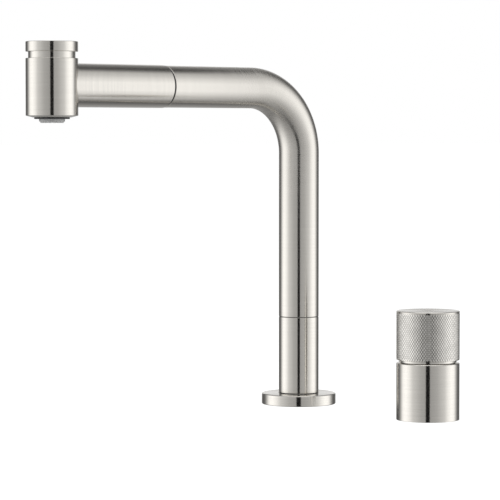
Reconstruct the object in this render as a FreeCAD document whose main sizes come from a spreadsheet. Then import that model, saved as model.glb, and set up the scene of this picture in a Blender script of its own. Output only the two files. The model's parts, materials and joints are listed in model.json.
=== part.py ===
"""Two-hole kitchen tap with a pull-out spray, as a parametric assembly in millimetres.

The origin is on the deck, on the riser's axis. +Z is up, the arm points to -Y (the user) and the
control stands at +X. Every length comes from the sheet called Sizes.
"""
import FreeCAD, Part
import math
import os
from types import SimpleNamespace

import Sketcher

VECTOR = FreeCAD.Vector
SHEET_NAME = "Sizes"

# Driving dimensions, in millimetres, degrees or counts.
SIZES = {
    # Spout tube and its route
    "tube_diameter": 28.0,
    "tube_wall": 1.5,
    "arm_height": 221.0,
    "bend_radius": 45.0,
    "mouth_reach": 120.5,
    "seam_height": 61.2,
    # Clearances that every fit shares
    "fit_gap": 0.05,
    "run_gap": 0.06,
    "slide_gap": 0.3,
    # Base on the deck
    "flange_overhang": 12.0,
    "flange_thickness": 7.6,
    "flange_bevel": 0.7,
    "flange_ledge": 2.8,
    "gasket_thickness": 1.8,
    "gasket_inset": 2.5,
    "gasket_width": 5.4,
    "column_wall": 2.0,
    "shank_shoulder": 2.0,
    "shank_wall": 2.4,
    "shank_grip": 20.0,
    "shank_length": 60.0,
    # Clamping under a worktop
    "deck_thickness": 30.0,
    "rubber_washer_thickness": 3.0,
    "clamp_washer_thickness": 2.0,
    "washer_width": 9.0,
    "washer_play": 0.4,
    "nut_height": 10.0,
    "nut_flat_wall": 7.0,
    # Swivel between base and spout
    "thrust_thickness": 0.4,
    "thrust_inset": 0.3,
    "bush_wall": 1.85,
    "spigot_wall": 2.0,
    "spigot_length": 42.0,
    "swivel_ring_height": 15.0,
    "upper_bush_height": 10.0,
    "upper_bush_drop": 2.0,
    "swivel_limit": 60.0,
    "slot_overrun": 11.0,
    "slot_depth": 1.2,
    "slot_clearance": 0.3,
    "screw_height": 8.0,
    "screw_radius": 2.5,
    "screw_point_radius": 1.4,
    "screw_sink": 0.4,
    "hex_key_radius": 1.2,
    "hex_key_depth": 1.8,
    # Docking of the spray in the arm
    "mouth_gap": 0.2,
    "sleeve_liner_wall": 2.1,
    "sleeve_liner_length": 24.0,
    "mouth_lead_in": 0.8,
    "collar_thickness": 0.8,
    "collar_inset": 0.5,
    # Hose and its end fittings
    "nut_wall": 3.0,
    "nut_setback": 1.0,
    "nut_grip": 16.0,
    "nut_tail_length": 8.0,
    "nut_taper_length": 11.0,
    "nut_tail_wall": 1.1,
    "hose_step": 0.5,
    "hose_wall": 2.5,
    "hose_drop": 70.0,
    "hose_washer_thickness": 1.0,
    "coupling_wall": 2.2,
    "coupling_collar_length": 10.0,
    "coupling_thread_step": 1.0,
    "coupling_thread_length": 12.0,
    # Spray handle
    "reach": 212.0,
    "handle_step": 0.3,
    "handle_wall": 1.5,
    "weld_gap": 0.05,
    "plug_length": 11.5,
    "valve_pocket_length": 9.5,
    "check_valve_radius": 6.0,
    "check_valve_bore": 3.4,
    "waterway_radius": 6.0,
    "waterway_bore": 4.0,
    "waterway_collar_length": 4.0,
    # Spray head
    "head_overhang": 2.7,
    "head_top_margin": 2.9,
    "head_bottom_margin": 6.7,
    "head_cone_height": 1.2,
    "head_lip_width": 0.8,
    "head_edge": 0.3,
    "head_wall": 4.0,
    "floor_thickness": 3.2,
    "floor_ledge": 1.45,
    "wall_port_gap": 0.3,
    # Aerator under the head
    "aerator_proud": 1.0,
    "aerator_rise": 1.8,
    "aerator_ring_wall": 2.6,
    "aerator_edge": 0.3,
    "aerator_seal_thickness": 1.0,
    "nozzle_proud": 1.6,
    "nozzle_step": 0.45,
    "nozzle_recess_radius": 4.6,
    "nozzle_recess_depth": 2.0,
    "nozzle_hole_radius": 0.6,
    "nozzle_hole_circle": 6.6,
    "nozzle_hole_depth": 3.0,
    "nozzle_count": 14.0,
    # Diverter with its push cap
    "press_travel": 3.4,
    "cap_clearance": 0.8,
    "cap_height": 6.6,
    "cap_edge": 0.4,
    "neck_step": 1.7,
    "neck_overlap": 3.7,
    "neck_floor_clearance": 1.5,
    "cap_cavity_depth": 7.0,
    "cap_cavity_radius": 8.0,
    "stem_socket_depth": 3.0,
    "diverter_top_gap": 0.5,
    "diverter_bore": 5.0,
    "diverter_guide_length": 5.0,
    "port_socket_depth": 3.0,
    "port_radius": 3.4,
    "stem_radius": 3.0,
    "stem_head_height": 5.0,
    "stem_head_rise": 6.0,
    "seal_wire_radius": 0.75,
    "seal_groove_width": 1.7,
    "spring_radius": 5.4,
    "spring_wire_radius": 0.5,
    "spring_turns": 5.0,
    # Control on the deck
    "control_spacing": 130.0,
    "sleeve_diameter": 42.0,
    "sleeve_height": 38.0,
    "sleeve_wall": 2.8,
    "sleeve_bevel": 0.5,
    "sleeve_foot_height": 4.0,
    "sleeve_gasket_rim": 1.4,
    "sleeve_gasket_width": 2.2,
    "sleeve_gasket_thickness": 1.6,
    # Mixing valve inside the sleeve
    "valve_flange_gap": 0.3,
    "valve_flange_height": 4.0,
    "valve_shoulder": 1.9,
    "valve_shank_length": 45.0,
    "valve_body_height": 30.0,
    "valve_floor_height": 8.0,
    "valve_wall": 1.55,
    "cartridge_nut_ledge": 1.85,
    "cartridge_nut_grip": 4.5,
    "cartridge_nut_head": 3.5,
    "cartridge_nut_step": 2.0,
    "cartridge_nut_bore": 6.4,
    "port_thread_radius": 4.5,
    "port_thread_depth": 14.0,
    "port_wall": 2.3,
    "duct_radius": 2.4,
    "duct_inset": 1.8,
    "cartridge_seal_thickness": 0.8,
    "cartridge_height": 17.0,
    "cartridge_wall": 2.0,
    "fixed_disc_height": 3.0,
    "moving_disc_height": 3.0,
    "moving_disc_inset": 0.6,
    "mixing_pocket_radius": 5.4,
    "mixing_pocket_offset": 2.6,
    "mixing_pocket_depth": 1.5,
    "carrier_height": 1.8,
    "carrier_roof_gap": 0.2,
    "valve_stem_radius": 5.0,
    "valve_stem_height": 56.0,
    # Knob
    "knob_gap": 0.3,
    "knob_neck_height": 1.5,
    "knob_neck_step": 2.0,
    "knob_grip_height": 32.6,
    "knob_foot_edge": 0.4,
    "knob_rim_bevel": 0.9,
    "knob_wall": 3.5,
    "knob_roof": 8.0,
    "boss_wall": 4.0,
    "boss_rise": 5.7,
    "adaptor_wall": 4.0,
    "grub_height": 9.7,
    "grub_radius": 2.0,
}

PORT_COUNT = 3
FULL_TURN = 360.0
COIL_STEPS = 4  # stretches in each turn of a coil


class Size:
    """A value that also knows the formula tying it to the sheet."""

    def __init__(self, value, formula):
        self.value = value
        self.formula = formula

    def _join(self, other, sign, value):
        return Size(value, f"({self.formula} {sign} {as_size(other).formula})")

    def __add__(self, other):
        return self._join(other, "+", self.value + as_size(other).value)

    def __sub__(self, other):
        return self._join(other, "-", self.value - as_size(other).value)

    def __mul__(self, factor):
        return self._join(factor, "*", self.value * as_size(factor).value)

    def __truediv__(self, divisor):
        return self._join(divisor, "/", self.value / as_size(divisor).value)

    def __neg__(self):
        return Size(-self.value, f"(0 - {self.formula})")


def as_size(item):
    """Return a Size for a plain number or pass a Size through."""
    if isinstance(item, Size):
        return item
    return Size(float(item), repr(float(item)))


def fill_sheet(doc):
    """Write the driving dimensions to the sheet and return them as Size values."""
    sheet = doc.addObject("Spreadsheet::Sheet", SHEET_NAME)
    named = {}
    for row, (name, value) in enumerate(SIZES.items(), start=1):
        cell = f"A{row}"
        sheet.set(cell, repr(value))
        sheet.setAlias(cell, name)
        named[name] = Size(value, f"{SHEET_NAME}.{name}")
    doc.recompute()
    return SimpleNamespace(**named)


# Drawing helpers

def origin_plane(body, role):
    """Find one of a body's own origin planes."""
    return next(item for item in body.Origin.OriginFeatures if item.Role == role)


def new_sketch(body, name, role):
    """Start a sketch on one of the body's origin planes."""
    sketch = body.newObject("Sketcher::SketchObject", name)
    sketch.AttachmentSupport = [(origin_plane(body, role), "")]
    sketch.MapMode = "FlatFace"
    return sketch


def tie(sketch, size, *constraint):
    """Add a dimension to a sketch and bind it to the sheet."""
    size = as_size(size)
    index = sketch.addConstraint(Sketcher.Constraint(*constraint, size.value))
    if SHEET_NAME in size.formula:
        sketch.setExpression(f"Constraints[{index}]", size.formula)


def draw_outline(sketch, corners):
    """Draw a closed outline of straight lines through corners given as (across, up)."""
    corners = [(as_size(across), as_size(up)) for across, up in corners]
    points = [VECTOR(across.value, up.value, 0) for across, up in corners]
    for start, end in zip(points, points[1:] + points[:1]):
        sketch.addGeometry(Part.LineSegment(start, end))
    for index, (across, up) in enumerate(corners):
        following = (index + 1) % len(corners)
        sketch.addConstraint(Sketcher.Constraint("Coincident", index, 2, following, 1))
        tie(sketch, across, "DistanceX", index, 1)
        tie(sketch, up, "DistanceY", index, 1)


def draw_circle(sketch, across, up, radius):
    """Draw a circle whose centre and radius are bound to the sheet."""
    across, up, radius = as_size(across), as_size(up), as_size(radius)
    circle = Part.Circle(VECTOR(across.value, up.value, 0), VECTOR(0, 0, 1), radius.value)
    index = sketch.addGeometry(circle)
    tie(sketch, across, "DistanceX", index, 3)
    tie(sketch, up, "DistanceY", index, 3)
    tie(sketch, radius, "Radius", index)


# Making helpers

def new_body(doc, label):
    """Start a sub-part."""
    body = doc.addObject("PartDesign::Body", label)
    body.Label = label
    return body


def turned(doc, label, corners):
    """Turn a piece on a lathe: an outline of (radius, height) round the upright axis."""
    body = new_body(doc, label)
    sketch = new_sketch(body, f"{label}_outline", "XZ_Plane")
    draw_outline(sketch, corners)
    turn = body.newObject("PartDesign::Revolution", f"{label}_turn")
    turn.Profile = sketch
    turn.ReferenceAxis = (sketch, ["V_Axis"])
    turn.Angle = FULL_TURN
    doc.recompute()
    return body


def ring(doc, label, inner, outer, height):
    """Make a plain ring that stands on its own base plane."""
    return turned(doc, label, [(inner, 0), (outer, 0), (outer, height), (inner, height)])


def drilled(doc, body, name, role, centre, radius, depth, reverse=False, both_ways=False):
    """Cut a round hole from an origin plane, and make sure that it took material away."""
    before = body.Shape.Volume
    sketch = new_sketch(body, f"{name}_circle", role)
    draw_circle(sketch, centre[0], centre[1], radius)
    hole = body.newObject("PartDesign::Pocket", name)
    hole.Profile = sketch
    hole.setExpression("Length", as_size(depth).formula)
    hole.Reversed = reverse
    if both_ways:
        hole.SideType = "Symmetric"
    doc.recompute()
    if body.Shape.Volume >= before:
        raise ValueError(f"{name} cuts nothing")
    return hole


def spread_round(doc, body, features, count):
    """Repeat features evenly round the body's upright axis."""
    pattern = body.newObject("PartDesign::PolarPattern", f"{features[0].Name}_ring")
    pattern.Originals = features
    pattern.Axis = (features[0].Profile[0], ["N_Axis"])
    pattern.Angle = FULL_TURN
    count = as_size(count)
    pattern.Occurrences = int(count.value)
    if SHEET_NAME in count.formula:
        pattern.setExpression("Occurrences", count.formula)
    body.Tip = pattern
    doc.recompute()


def swept_tube(doc, label, riser, radius, arm, outer, inner):
    """Sweep a tube up a riser and round one bend, then along an arm where there is one."""
    body = new_body(doc, label)
    path = new_sketch(body, f"{label}_route", "XZ_Plane")
    bend_centre = VECTOR(radius.value, riser.value, 0)
    bend_circle = Part.Circle(bend_centre, VECTOR(0, 0, 1), radius.value)
    bend_top = bend_centre + VECTOR(0, radius.value, 0)
    path.addGeometry(Part.LineSegment(VECTOR(0, 0, 0), VECTOR(0, riser.value, 0)))
    path.addGeometry(Part.ArcOfCircle(bend_circle, math.pi / 2, math.pi))
    path.addConstraint(Sketcher.Constraint("Coincident", 0, 1, -1, 1))
    path.addConstraint(Sketcher.Constraint("Vertical", 0))
    path.addConstraint(Sketcher.Constraint("Tangent", 0, 2, 1, 2))
    tie(path, riser, "DistanceY", 0, 2)
    tie(path, radius, "Radius", 1)
    tie(path, radius, "DistanceX", 1, 1)
    edges = ["Edge1", "Edge2"]
    if arm is not None:
        path.addGeometry(Part.LineSegment(bend_top, bend_top + VECTOR(arm.value, 0, 0)))
        path.addConstraint(Sketcher.Constraint("Tangent", 1, 1, 2, 1))
        tie(path, radius + arm, "DistanceX", 2, 2)
        edges.append("Edge3")
    section = new_sketch(body, f"{label}_section", "XY_Plane")
    draw_circle(section, 0, 0, outer)
    draw_circle(section, 0, 0, inner)
    sweep = body.newObject("PartDesign::AdditivePipe", f"{label}_sweep")
    sweep.Profile = section
    sweep.Spine = (path, edges)
    doc.recompute()
    return body


def arc_from(start, heading, end):
    """Draw the arc that leaves start along a unit heading and stops at end."""
    chord = end - start
    outward = (heading - chord * (heading.dot(chord) / chord.dot(chord))).normalize()
    bulge = chord.Length / 2 * math.tan(heading.getAngle(chord) / 2)
    return Part.Arc(start, (start + end) / 2 + outward * bulge, end).toShape()


def smooth_pair(start, leaving, end, arriving):
    """Join two points by two arcs that meet smoothly and keep the unit heading at each end."""
    chord = end - start
    slant = chord.dot(leaving + arriving)
    turn = 2 * (1 - leaving.dot(arriving))
    reach = (math.sqrt(slant ** 2 + turn * chord.dot(chord)) - slant) / turn
    first_corner = start + leaving * reach
    last_corner = end - arriving * reach
    joint = (first_corner + last_corner) / 2
    heading = (last_corner - first_corner).normalize()
    return [arc_from(start, leaving, joint), arc_from(joint, heading, end)]


def coil_line(radius, rise, turns):
    """Draw a coil round the upright axis as short arcs, which mesh far better than a true helix."""
    def on_coil(step):
        angle = 2 * math.pi * step / COIL_STEPS
        point = VECTOR(radius * math.cos(angle), radius * math.sin(angle), rise * step / steps)
        lead = rise / turns / (2 * math.pi)
        return point, VECTOR(-radius * math.sin(angle), radius * math.cos(angle), lead).normalize()

    steps = round(turns * COIL_STEPS)
    arcs = []
    for step in range(steps):
        arcs += smooth_pair(*on_coil(step), *on_coil(step + 1))
    return Part.Wire(arcs)


def hexagon_nut(doc, label, bore, flat_radius, height):
    """Make a six-sided nut with a plain bore."""
    blank = doc.addObject("Part::Prism", f"{label}_blank")
    blank.Polygon = 6
    corner_radius = flat_radius / math.cos(math.pi / 6)
    blank.setExpression("Circumradius", corner_radius.formula)
    blank.setExpression("Height", height.formula)
    hole = doc.addObject("Part::Cylinder", f"{label}_hole")
    hole.setExpression("Radius", bore.formula)
    hole.setExpression("Height", height.formula)
    nut = doc.addObject("Part::Cut", label)
    nut.Base = blank
    nut.Tool = hole
    nut.Label = label
    doc.recompute()
    return nut


def place(piece, x, y, z, axis=(0, 0, 1), angle=0.0):
    """Put a piece at a point tied to the sheet, turned about an axis."""
    piece.Placement = FreeCAD.Placement(VECTOR(0, 0, 0), FreeCAD.Rotation(VECTOR(*axis), angle))
    for name, size in zip("xyz", (x, y, z)):
        piece.setExpression(f"Placement.Base.{name}", as_size(size).formula)
    return piece


def place_on_arm(piece, s, distance):
    """Lay a piece's own axis along the arm, starting at a distance from the riser's axis."""
    return place(piece, 0, -as_size(distance), s.arm_height, axis=(1, 0, 0), angle=90.0)


def place_at_back(piece, x, y, z):
    """Point a piece's own axis to the back of the tap."""
    return place(piece, x, y, z, axis=(1, 0, 0), angle=-90.0)


# Sizes that follow from the driving ones

def work_out(s):
    """Work out the radii, heights and places that the fits share."""
    d = SimpleNamespace()
    # Tube, column, shank and flange
    d.tube_radius = s.tube_diameter / 2
    d.tube_bore = d.tube_radius - s.tube_wall
    d.column_bore = d.tube_radius - s.column_wall
    d.neck_radius = d.column_bore - s.fit_gap
    d.shank_radius = d.column_bore + s.shank_shoulder
    d.shank_bore = d.neck_radius - s.shank_wall
    d.flange_radius = d.tube_radius + s.flange_overhang
    d.gasket_inner = d.shank_radius + s.gasket_inset
    d.gasket_outer = d.gasket_inner + s.gasket_width
    d.ledge_top = s.gasket_thickness + s.flange_ledge
    d.neck_top = d.ledge_top + s.shank_grip
    # Swivel
    d.liner_radius = d.tube_bore - s.fit_gap
    d.spigot_radius = d.liner_radius - s.bush_wall - s.run_gap
    d.spigot_bore = d.spigot_radius - s.spigot_wall
    d.spout_foot = s.seam_height + s.thrust_thickness
    d.screw_level = d.spout_foot + s.screw_height
    # Docking, hose nut and hose
    d.nut_radius = d.liner_radius - s.sleeve_liner_wall - s.slide_gap
    d.thread_radius = d.nut_radius - s.nut_wall
    d.hose_radius = d.thread_radius - s.hose_step
    d.hose_bore = d.hose_radius - s.hose_wall
    d.nut_front = s.mouth_reach - s.nut_setback
    d.plug_tip = d.nut_front - s.nut_grip
    d.hose_end = d.plug_tip - s.hose_washer_thickness
    d.nut_tail = d.hose_end - s.nut_tail_length
    d.collar_start = s.mouth_reach + s.mouth_gap
    d.handle_start = d.collar_start + s.collar_thickness
    # Handle and head
    d.handle_radius = d.tube_radius + s.handle_step
    d.handle_bore = d.handle_radius - s.handle_wall
    d.plug_end = d.handle_start + s.plug_length
    d.head_radius = d.handle_radius + s.head_overhang
    d.head_drop = d.handle_radius + s.head_bottom_margin
    d.head_rise = d.handle_radius + s.head_top_margin
    d.head_height = d.head_drop + d.head_rise
    d.head_bottom = s.arm_height - d.head_drop
    d.core_bore = d.head_radius - s.head_wall
    d.core_radius = d.core_bore - s.fit_gap
    d.cap_neck_radius = d.head_radius - s.neck_step
    d.neck_bore_depth = s.neck_overlap + s.press_travel + s.neck_floor_clearance
    d.aerator_bore = d.core_bore - s.floor_ledge
    d.aerator_radius = d.aerator_bore - s.fit_gap
    d.nozzle_bore = d.aerator_radius - s.aerator_ring_wall
    d.nozzle_radius = d.nozzle_bore - s.fit_gap
    d.aerator_top = s.floor_thickness + s.aerator_rise
    d.diverter_foot = d.aerator_top + s.aerator_seal_thickness
    d.diverter_top = d.head_height - d.neck_bore_depth - s.diverter_top_gap
    d.diverter_height = d.diverter_top - d.diverter_foot
    d.stem_foot = d.diverter_foot + s.stem_head_rise
    d.cap_foot = d.head_height - s.neck_overlap
    d.cavity_roof = d.cap_foot + s.cap_cavity_depth
    d.waterway_end = s.reach - d.core_radius + s.port_socket_depth
    # Control
    d.sleeve_radius = s.sleeve_diameter / 2
    d.sleeve_bore = d.sleeve_radius - s.sleeve_wall
    d.valve_flange_radius = d.sleeve_bore - s.valve_flange_gap
    d.valve_radius = d.valve_flange_radius - s.valve_shoulder
    d.nut_thread_radius = d.valve_radius - s.valve_wall
    d.cartridge_bore = d.nut_thread_radius - s.cartridge_nut_ledge
    d.cartridge_radius = d.cartridge_bore - s.fit_gap
    d.disc_bore = d.cartridge_radius - s.cartridge_wall
    d.valve_floor = s.sleeve_foot_height + s.valve_floor_height
    d.valve_top = s.sleeve_foot_height + s.valve_body_height
    d.cartridge_foot = d.valve_floor + s.cartridge_seal_thickness
    d.cartridge_top = d.cartridge_foot + s.cartridge_height
    d.moving_disc_foot = d.cartridge_foot + s.fixed_disc_height
    d.carrier_foot = d.moving_disc_foot + s.moving_disc_height
    d.disc_roof = d.carrier_foot + s.carrier_height + s.carrier_roof_gap
    d.port_circle = d.valve_radius - s.port_wall - s.port_thread_radius
    d.duct_circle = d.port_circle - s.duct_inset
    # Knob
    d.knob_foot = s.sleeve_height + s.knob_gap
    d.knob_height = s.knob_neck_height + s.knob_grip_height
    d.knob_bore = d.sleeve_radius - s.knob_wall
    d.knob_roof_height = d.knob_height - s.knob_roof
    d.adaptor_bore = s.valve_stem_radius + s.fit_gap
    d.adaptor_radius = d.adaptor_bore + s.adaptor_wall
    d.boss_bore = d.adaptor_radius + s.fit_gap
    d.boss_radius = d.boss_bore + s.boss_wall
    return d


# Base on the deck

def make_base(doc, s, d):
    """Make the flange, column, shank and swivel spigot that stay still on the deck."""
    hole = d.neck_radius + s.fit_gap
    socket = d.tube_radius + s.fit_gap
    recess = d.gasket_outer + s.fit_gap
    flange = turned(doc, "base_flange", [
        (recess, 0), (d.flange_radius, 0),
        (d.flange_radius, s.flange_thickness - s.flange_bevel),
        (d.flange_radius - s.flange_bevel, s.flange_thickness),
        (socket, s.flange_thickness), (socket, d.ledge_top),
        (hole, d.ledge_top), (hole, s.gasket_thickness), (recess, s.gasket_thickness)])
    gasket = ring(doc, "base_gasket", d.gasket_inner, d.gasket_outer, s.gasket_thickness)
    column = ring(doc, "base_column", d.column_bore, d.tube_radius, s.seam_height - d.ledge_top)
    place(column, 0, 0, d.ledge_top)

    shoulder = s.shank_length + s.gasket_thickness
    shank_top = s.shank_length + d.neck_top
    shank = turned(doc, "spout_shank", [
        (d.shank_bore, 0), (d.shank_radius, 0), (d.shank_radius, shoulder),
        (d.neck_radius, shoulder), (d.neck_radius, shank_top), (d.shank_bore, shank_top)])
    place(shank, 0, 0, -s.shank_length)
    thrust_inner = d.spigot_radius + s.slide_gap
    thrust_outer = d.tube_radius - s.thrust_inset
    thrust = ring(doc, "thrust_washer", thrust_inner, thrust_outer, s.thrust_thickness)
    place(thrust, 0, 0, s.seam_height)
    return [flange, gasket, column, shank, thrust, make_spigot(doc, s, d)]


def make_spigot(doc, s, d):
    """Make the spigot that the spout turns on, with the slot that stops the swivel."""
    grip = s.seam_height - d.neck_top
    top = grip + s.spigot_length
    spigot = turned(doc, "swivel_spigot", [
        (d.spigot_bore, 0), (d.neck_radius, 0), (d.neck_radius, grip),
        (d.spigot_radius, grip), (d.spigot_radius, top), (d.spigot_bore, top)])
    before = spigot.Shape.Volume
    floor = d.spigot_radius - s.slot_depth
    outside = d.spigot_radius + s.slot_depth
    middle = grip + s.thrust_thickness + s.screw_height
    half_width = s.screw_point_radius + s.slot_clearance
    sketch = new_sketch(spigot, "stop_slot_outline", "YZ_Plane")
    draw_outline(sketch, [
        (floor, middle - half_width), (outside, middle - half_width),
        (outside, middle + half_width), (floor, middle + half_width)])
    slot = spigot.newObject("PartDesign::Groove", "stop_slot")
    slot.Profile = sketch
    slot.ReferenceAxis = (sketch, ["V_Axis"])
    slot.Midplane = True
    slot.setExpression("Angle", ((s.swivel_limit + s.slot_overrun) * 2).formula)
    doc.recompute()
    if spigot.Shape.Volume >= before:
        raise ValueError("the stop slot cuts nothing")
    return place(spigot, 0, 0, d.neck_top)


def make_clamping(doc, s, name, x, shank_radius, bore):
    """Make the rubber washer, clamp washer and nut that pull a shank down under the deck."""
    washer_bore = shank_radius + s.washer_play
    washer_outer = washer_bore + s.washer_width
    rubber_foot = -(s.deck_thickness + s.rubber_washer_thickness)
    clamp_foot = rubber_foot - s.clamp_washer_thickness
    nut_foot = clamp_foot - s.nut_height
    rubber = ring(doc, f"{name}_rubber_washer", washer_bore, washer_outer, s.rubber_washer_thickness)
    clamp = ring(doc, f"{name}_clamp_washer", washer_bore, washer_outer, s.clamp_washer_thickness)
    nut = hexagon_nut(doc, f"{name}_nut", bore, shank_radius + s.nut_flat_wall, s.nut_height)
    place(rubber, x, 0, rubber_foot)
    place(clamp, x, 0, clamp_foot)
    place(nut, x, 0, nut_foot)
    return [rubber, clamp, nut]


# Spout

def make_spout(doc, s, d):
    """Make the bent tube with its swivel bushes, stop screw, docking sleeve and hose."""
    riser = s.arm_height - s.bend_radius - d.spout_foot
    tube = swept_tube(doc, "spout_tube", riser, s.bend_radius, s.mouth_reach - s.bend_radius,
                      d.tube_radius, d.tube_bore)
    screw_hole = s.screw_radius + s.fit_gap
    drilled(doc, tube, "tube_screw_hole", "YZ_Plane", (0, s.screw_height), screw_hole, s.tube_diameter)
    place(tube, 0, 0, d.spout_foot, angle=-90.0)

    run_bore = d.spigot_radius + s.run_gap
    swivel_ring = ring(doc, "swivel_ring", run_bore, d.liner_radius, s.swivel_ring_height)
    drilled(doc, swivel_ring, "ring_screw_hole", "XZ_Plane", (0, s.screw_height), screw_hole,
            s.tube_diameter)
    place(swivel_ring, 0, 0, d.spout_foot)
    bush = ring(doc, "swivel_bush", run_bore, d.liner_radius, s.upper_bush_height)
    bush_foot = s.seam_height + s.spigot_length - s.upper_bush_height - s.upper_bush_drop
    place(bush, 0, 0, bush_foot)

    liner_bore = d.nut_radius + s.slide_gap
    lead_in = s.sleeve_liner_length - s.mouth_lead_in
    liner = turned(doc, "docking_sleeve", [
        (liner_bore, 0), (d.liner_radius, 0), (d.liner_radius, s.sleeve_liner_length),
        (liner_bore + s.mouth_lead_in, s.sleeve_liner_length), (liner_bore, lead_in)])
    place_on_arm(liner, s, s.mouth_reach - s.sleeve_liner_length)

    hose_riser = s.arm_height - s.bend_radius + s.hose_drop
    hose = swept_tube(doc, "riser_hose", hose_riser, s.bend_radius, None, d.hose_radius, d.hose_bore)
    place(hose, 0, 0, -s.hose_drop, angle=-90.0)
    return [tube, swivel_ring, bush, make_stop_screw(doc, s, d), liner, hose, make_coupling(doc, s, d)]


def make_stop_screw(doc, s, d):
    """Make the headless screw at the back that holds the spout down and stops its swing."""
    point_start = d.spigot_radius - s.slot_depth + s.slot_clearance
    point_length = s.slot_depth - s.slot_clearance + s.run_gap
    length = d.tube_radius - s.screw_sink - point_start
    screw = headless_screw(doc, s, "stop_screw", s.screw_radius, length,
                           point_radius=s.screw_point_radius, point_length=point_length)
    return place_at_back(screw, 0, point_start, d.screw_level)


def headless_screw(doc, s, label, radius, length, point_radius, point_length):
    """Make a headless screw with a plain point and a hexagon socket."""
    screw = turned(doc, label, [
        (0, 0), (point_radius, 0), (point_radius, point_length), (radius, point_length),
        (radius, length), (0, length)])
    before = screw.Shape.Volume
    sketch = new_sketch(screw, f"{label}_socket_outline", "XY_Plane")
    corners = []
    for step in range(6):
        angle = step * math.pi / 3
        corners.append((s.hex_key_radius * math.cos(angle), s.hex_key_radius * math.sin(angle)))
    draw_outline(sketch, corners)
    sketch.setExpression("AttachmentOffset.Base.z", length.formula)
    socket = screw.newObject("PartDesign::Pocket", f"{label}_socket")
    socket.Profile = sketch
    socket.setExpression("Length", s.hex_key_depth.formula)
    doc.recompute()
    if screw.Shape.Volume >= before:
        raise ValueError(f"the socket of {label} cuts nothing")
    return screw


def make_coupling(doc, s, d):
    """Make the fitting on the lower end of the hose, with its outside thread."""
    collar_radius = d.hose_radius + s.coupling_wall
    thread_radius = d.hose_radius + s.coupling_thread_step
    top = s.coupling_thread_length + s.coupling_collar_length
    coupling = turned(doc, "hose_coupling", [
        (d.hose_bore, 0), (thread_radius, 0), (thread_radius, s.coupling_thread_length),
        (collar_radius, s.coupling_thread_length), (collar_radius, top), (d.hose_bore, top)])
    return place(coupling, 0, 0, -(s.hose_drop + top))


# Spray

def make_spray(doc, s, d):
    """Make the handle, the head and everything that comes away with them."""
    return (make_handle(doc, s, d) + make_hose_end(doc, s, d) + [make_head(doc, s, d)]
            + make_aerator(doc, s, d) + [make_diverter_body(doc, s, d)])


def make_handle(doc, s, d):
    """Make the handle tube, its end collar, plug, check valve and inner waterway."""
    handle = ring(doc, "spray_handle", d.handle_bore, d.handle_radius, s.reach - d.handle_start)
    drilled(doc, handle, "handle_saddle", "XZ_Plane", (0, s.reach - d.handle_start),
            d.head_radius + s.weld_gap, d.handle_radius * 3, both_ways=True)
    place_on_arm(handle, s, d.handle_start)
    collar = ring(doc, "docking_collar", d.thread_radius + s.fit_gap, d.handle_radius - s.collar_inset,
                  s.collar_thickness)
    place_on_arm(collar, s, d.collar_start)

    shoulder = d.handle_start - d.plug_tip
    end = shoulder + s.plug_length
    flange = d.handle_bore - s.fit_gap
    pocket = s.check_valve_radius + s.fit_gap
    pocket_floor = end - s.valve_pocket_length
    plug = turned(doc, "handle_plug", [
        (d.hose_bore, 0), (d.thread_radius, 0), (d.thread_radius, shoulder), (flange, shoulder),
        (flange, end), (pocket, end), (pocket, pocket_floor), (d.hose_bore, pocket_floor)])
    place_on_arm(plug, s, d.plug_tip)
    check_valve = ring(doc, "check_valve", s.check_valve_bore, s.check_valve_radius,
                       s.valve_pocket_length)
    place_on_arm(check_valve, s, d.plug_end - s.valve_pocket_length)

    tube_length = d.waterway_end - d.plug_end
    waterway = turned(doc, "handle_waterway", [
        (s.waterway_bore, 0), (flange, 0), (flange, s.waterway_collar_length),
        (s.waterway_radius, s.waterway_collar_length), (s.waterway_radius, tube_length),
        (s.waterway_bore, tube_length)])
    place_on_arm(waterway, s, d.plug_end)
    return [handle, collar, plug, check_valve, waterway]


def make_hose_end(doc, s, d):
    """Make the hose in the arm with the washer and the tapered nut that hold it to the handle."""
    hose = ring(doc, "arm_hose", d.hose_bore, d.hose_radius, d.hose_end - s.bend_radius)
    place_on_arm(hose, s, s.bend_radius)
    thread_bore = d.thread_radius + s.fit_gap
    hose_bore = d.hose_radius + s.fit_gap
    washer = ring(doc, "hose_washer", d.hose_bore, d.thread_radius, s.hose_washer_thickness)
    place_on_arm(washer, s, d.hose_end)
    length = d.nut_front - d.nut_tail
    nut = turned(doc, "hose_nut", [
        (hose_bore, 0), (hose_bore + s.nut_tail_wall, 0), (d.nut_radius, s.nut_taper_length),
        (d.nut_radius, length), (thread_bore, length), (thread_bore, s.nut_tail_length),
        (hose_bore, s.nut_tail_length)])
    place_on_arm(nut, s, d.nut_tail)
    return [hose, washer, nut]


def make_head(doc, s, d):
    """Make the upright shell of the spray head, open for the cap above and the aerator below."""
    top_bore = d.cap_neck_radius + s.run_gap
    ledge = d.head_height - d.neck_bore_depth
    lip = d.aerator_bore + s.head_lip_width
    head = turned(doc, "spray_head", [
        (d.aerator_bore, 0), (lip, 0), (d.head_radius, s.head_cone_height),
        (d.head_radius, d.head_height - s.head_edge), (d.head_radius - s.head_edge, d.head_height),
        (top_bore, d.head_height), (top_bore, ledge), (d.core_bore, ledge),
        (d.core_bore, s.floor_thickness), (d.aerator_bore, s.floor_thickness)])
    drilled(doc, head, "head_port", "XZ_Plane", (0, d.head_drop), s.waterway_radius + s.wall_port_gap,
            d.head_radius * 2)
    return place(head, 0, -s.reach, d.head_bottom)


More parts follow.
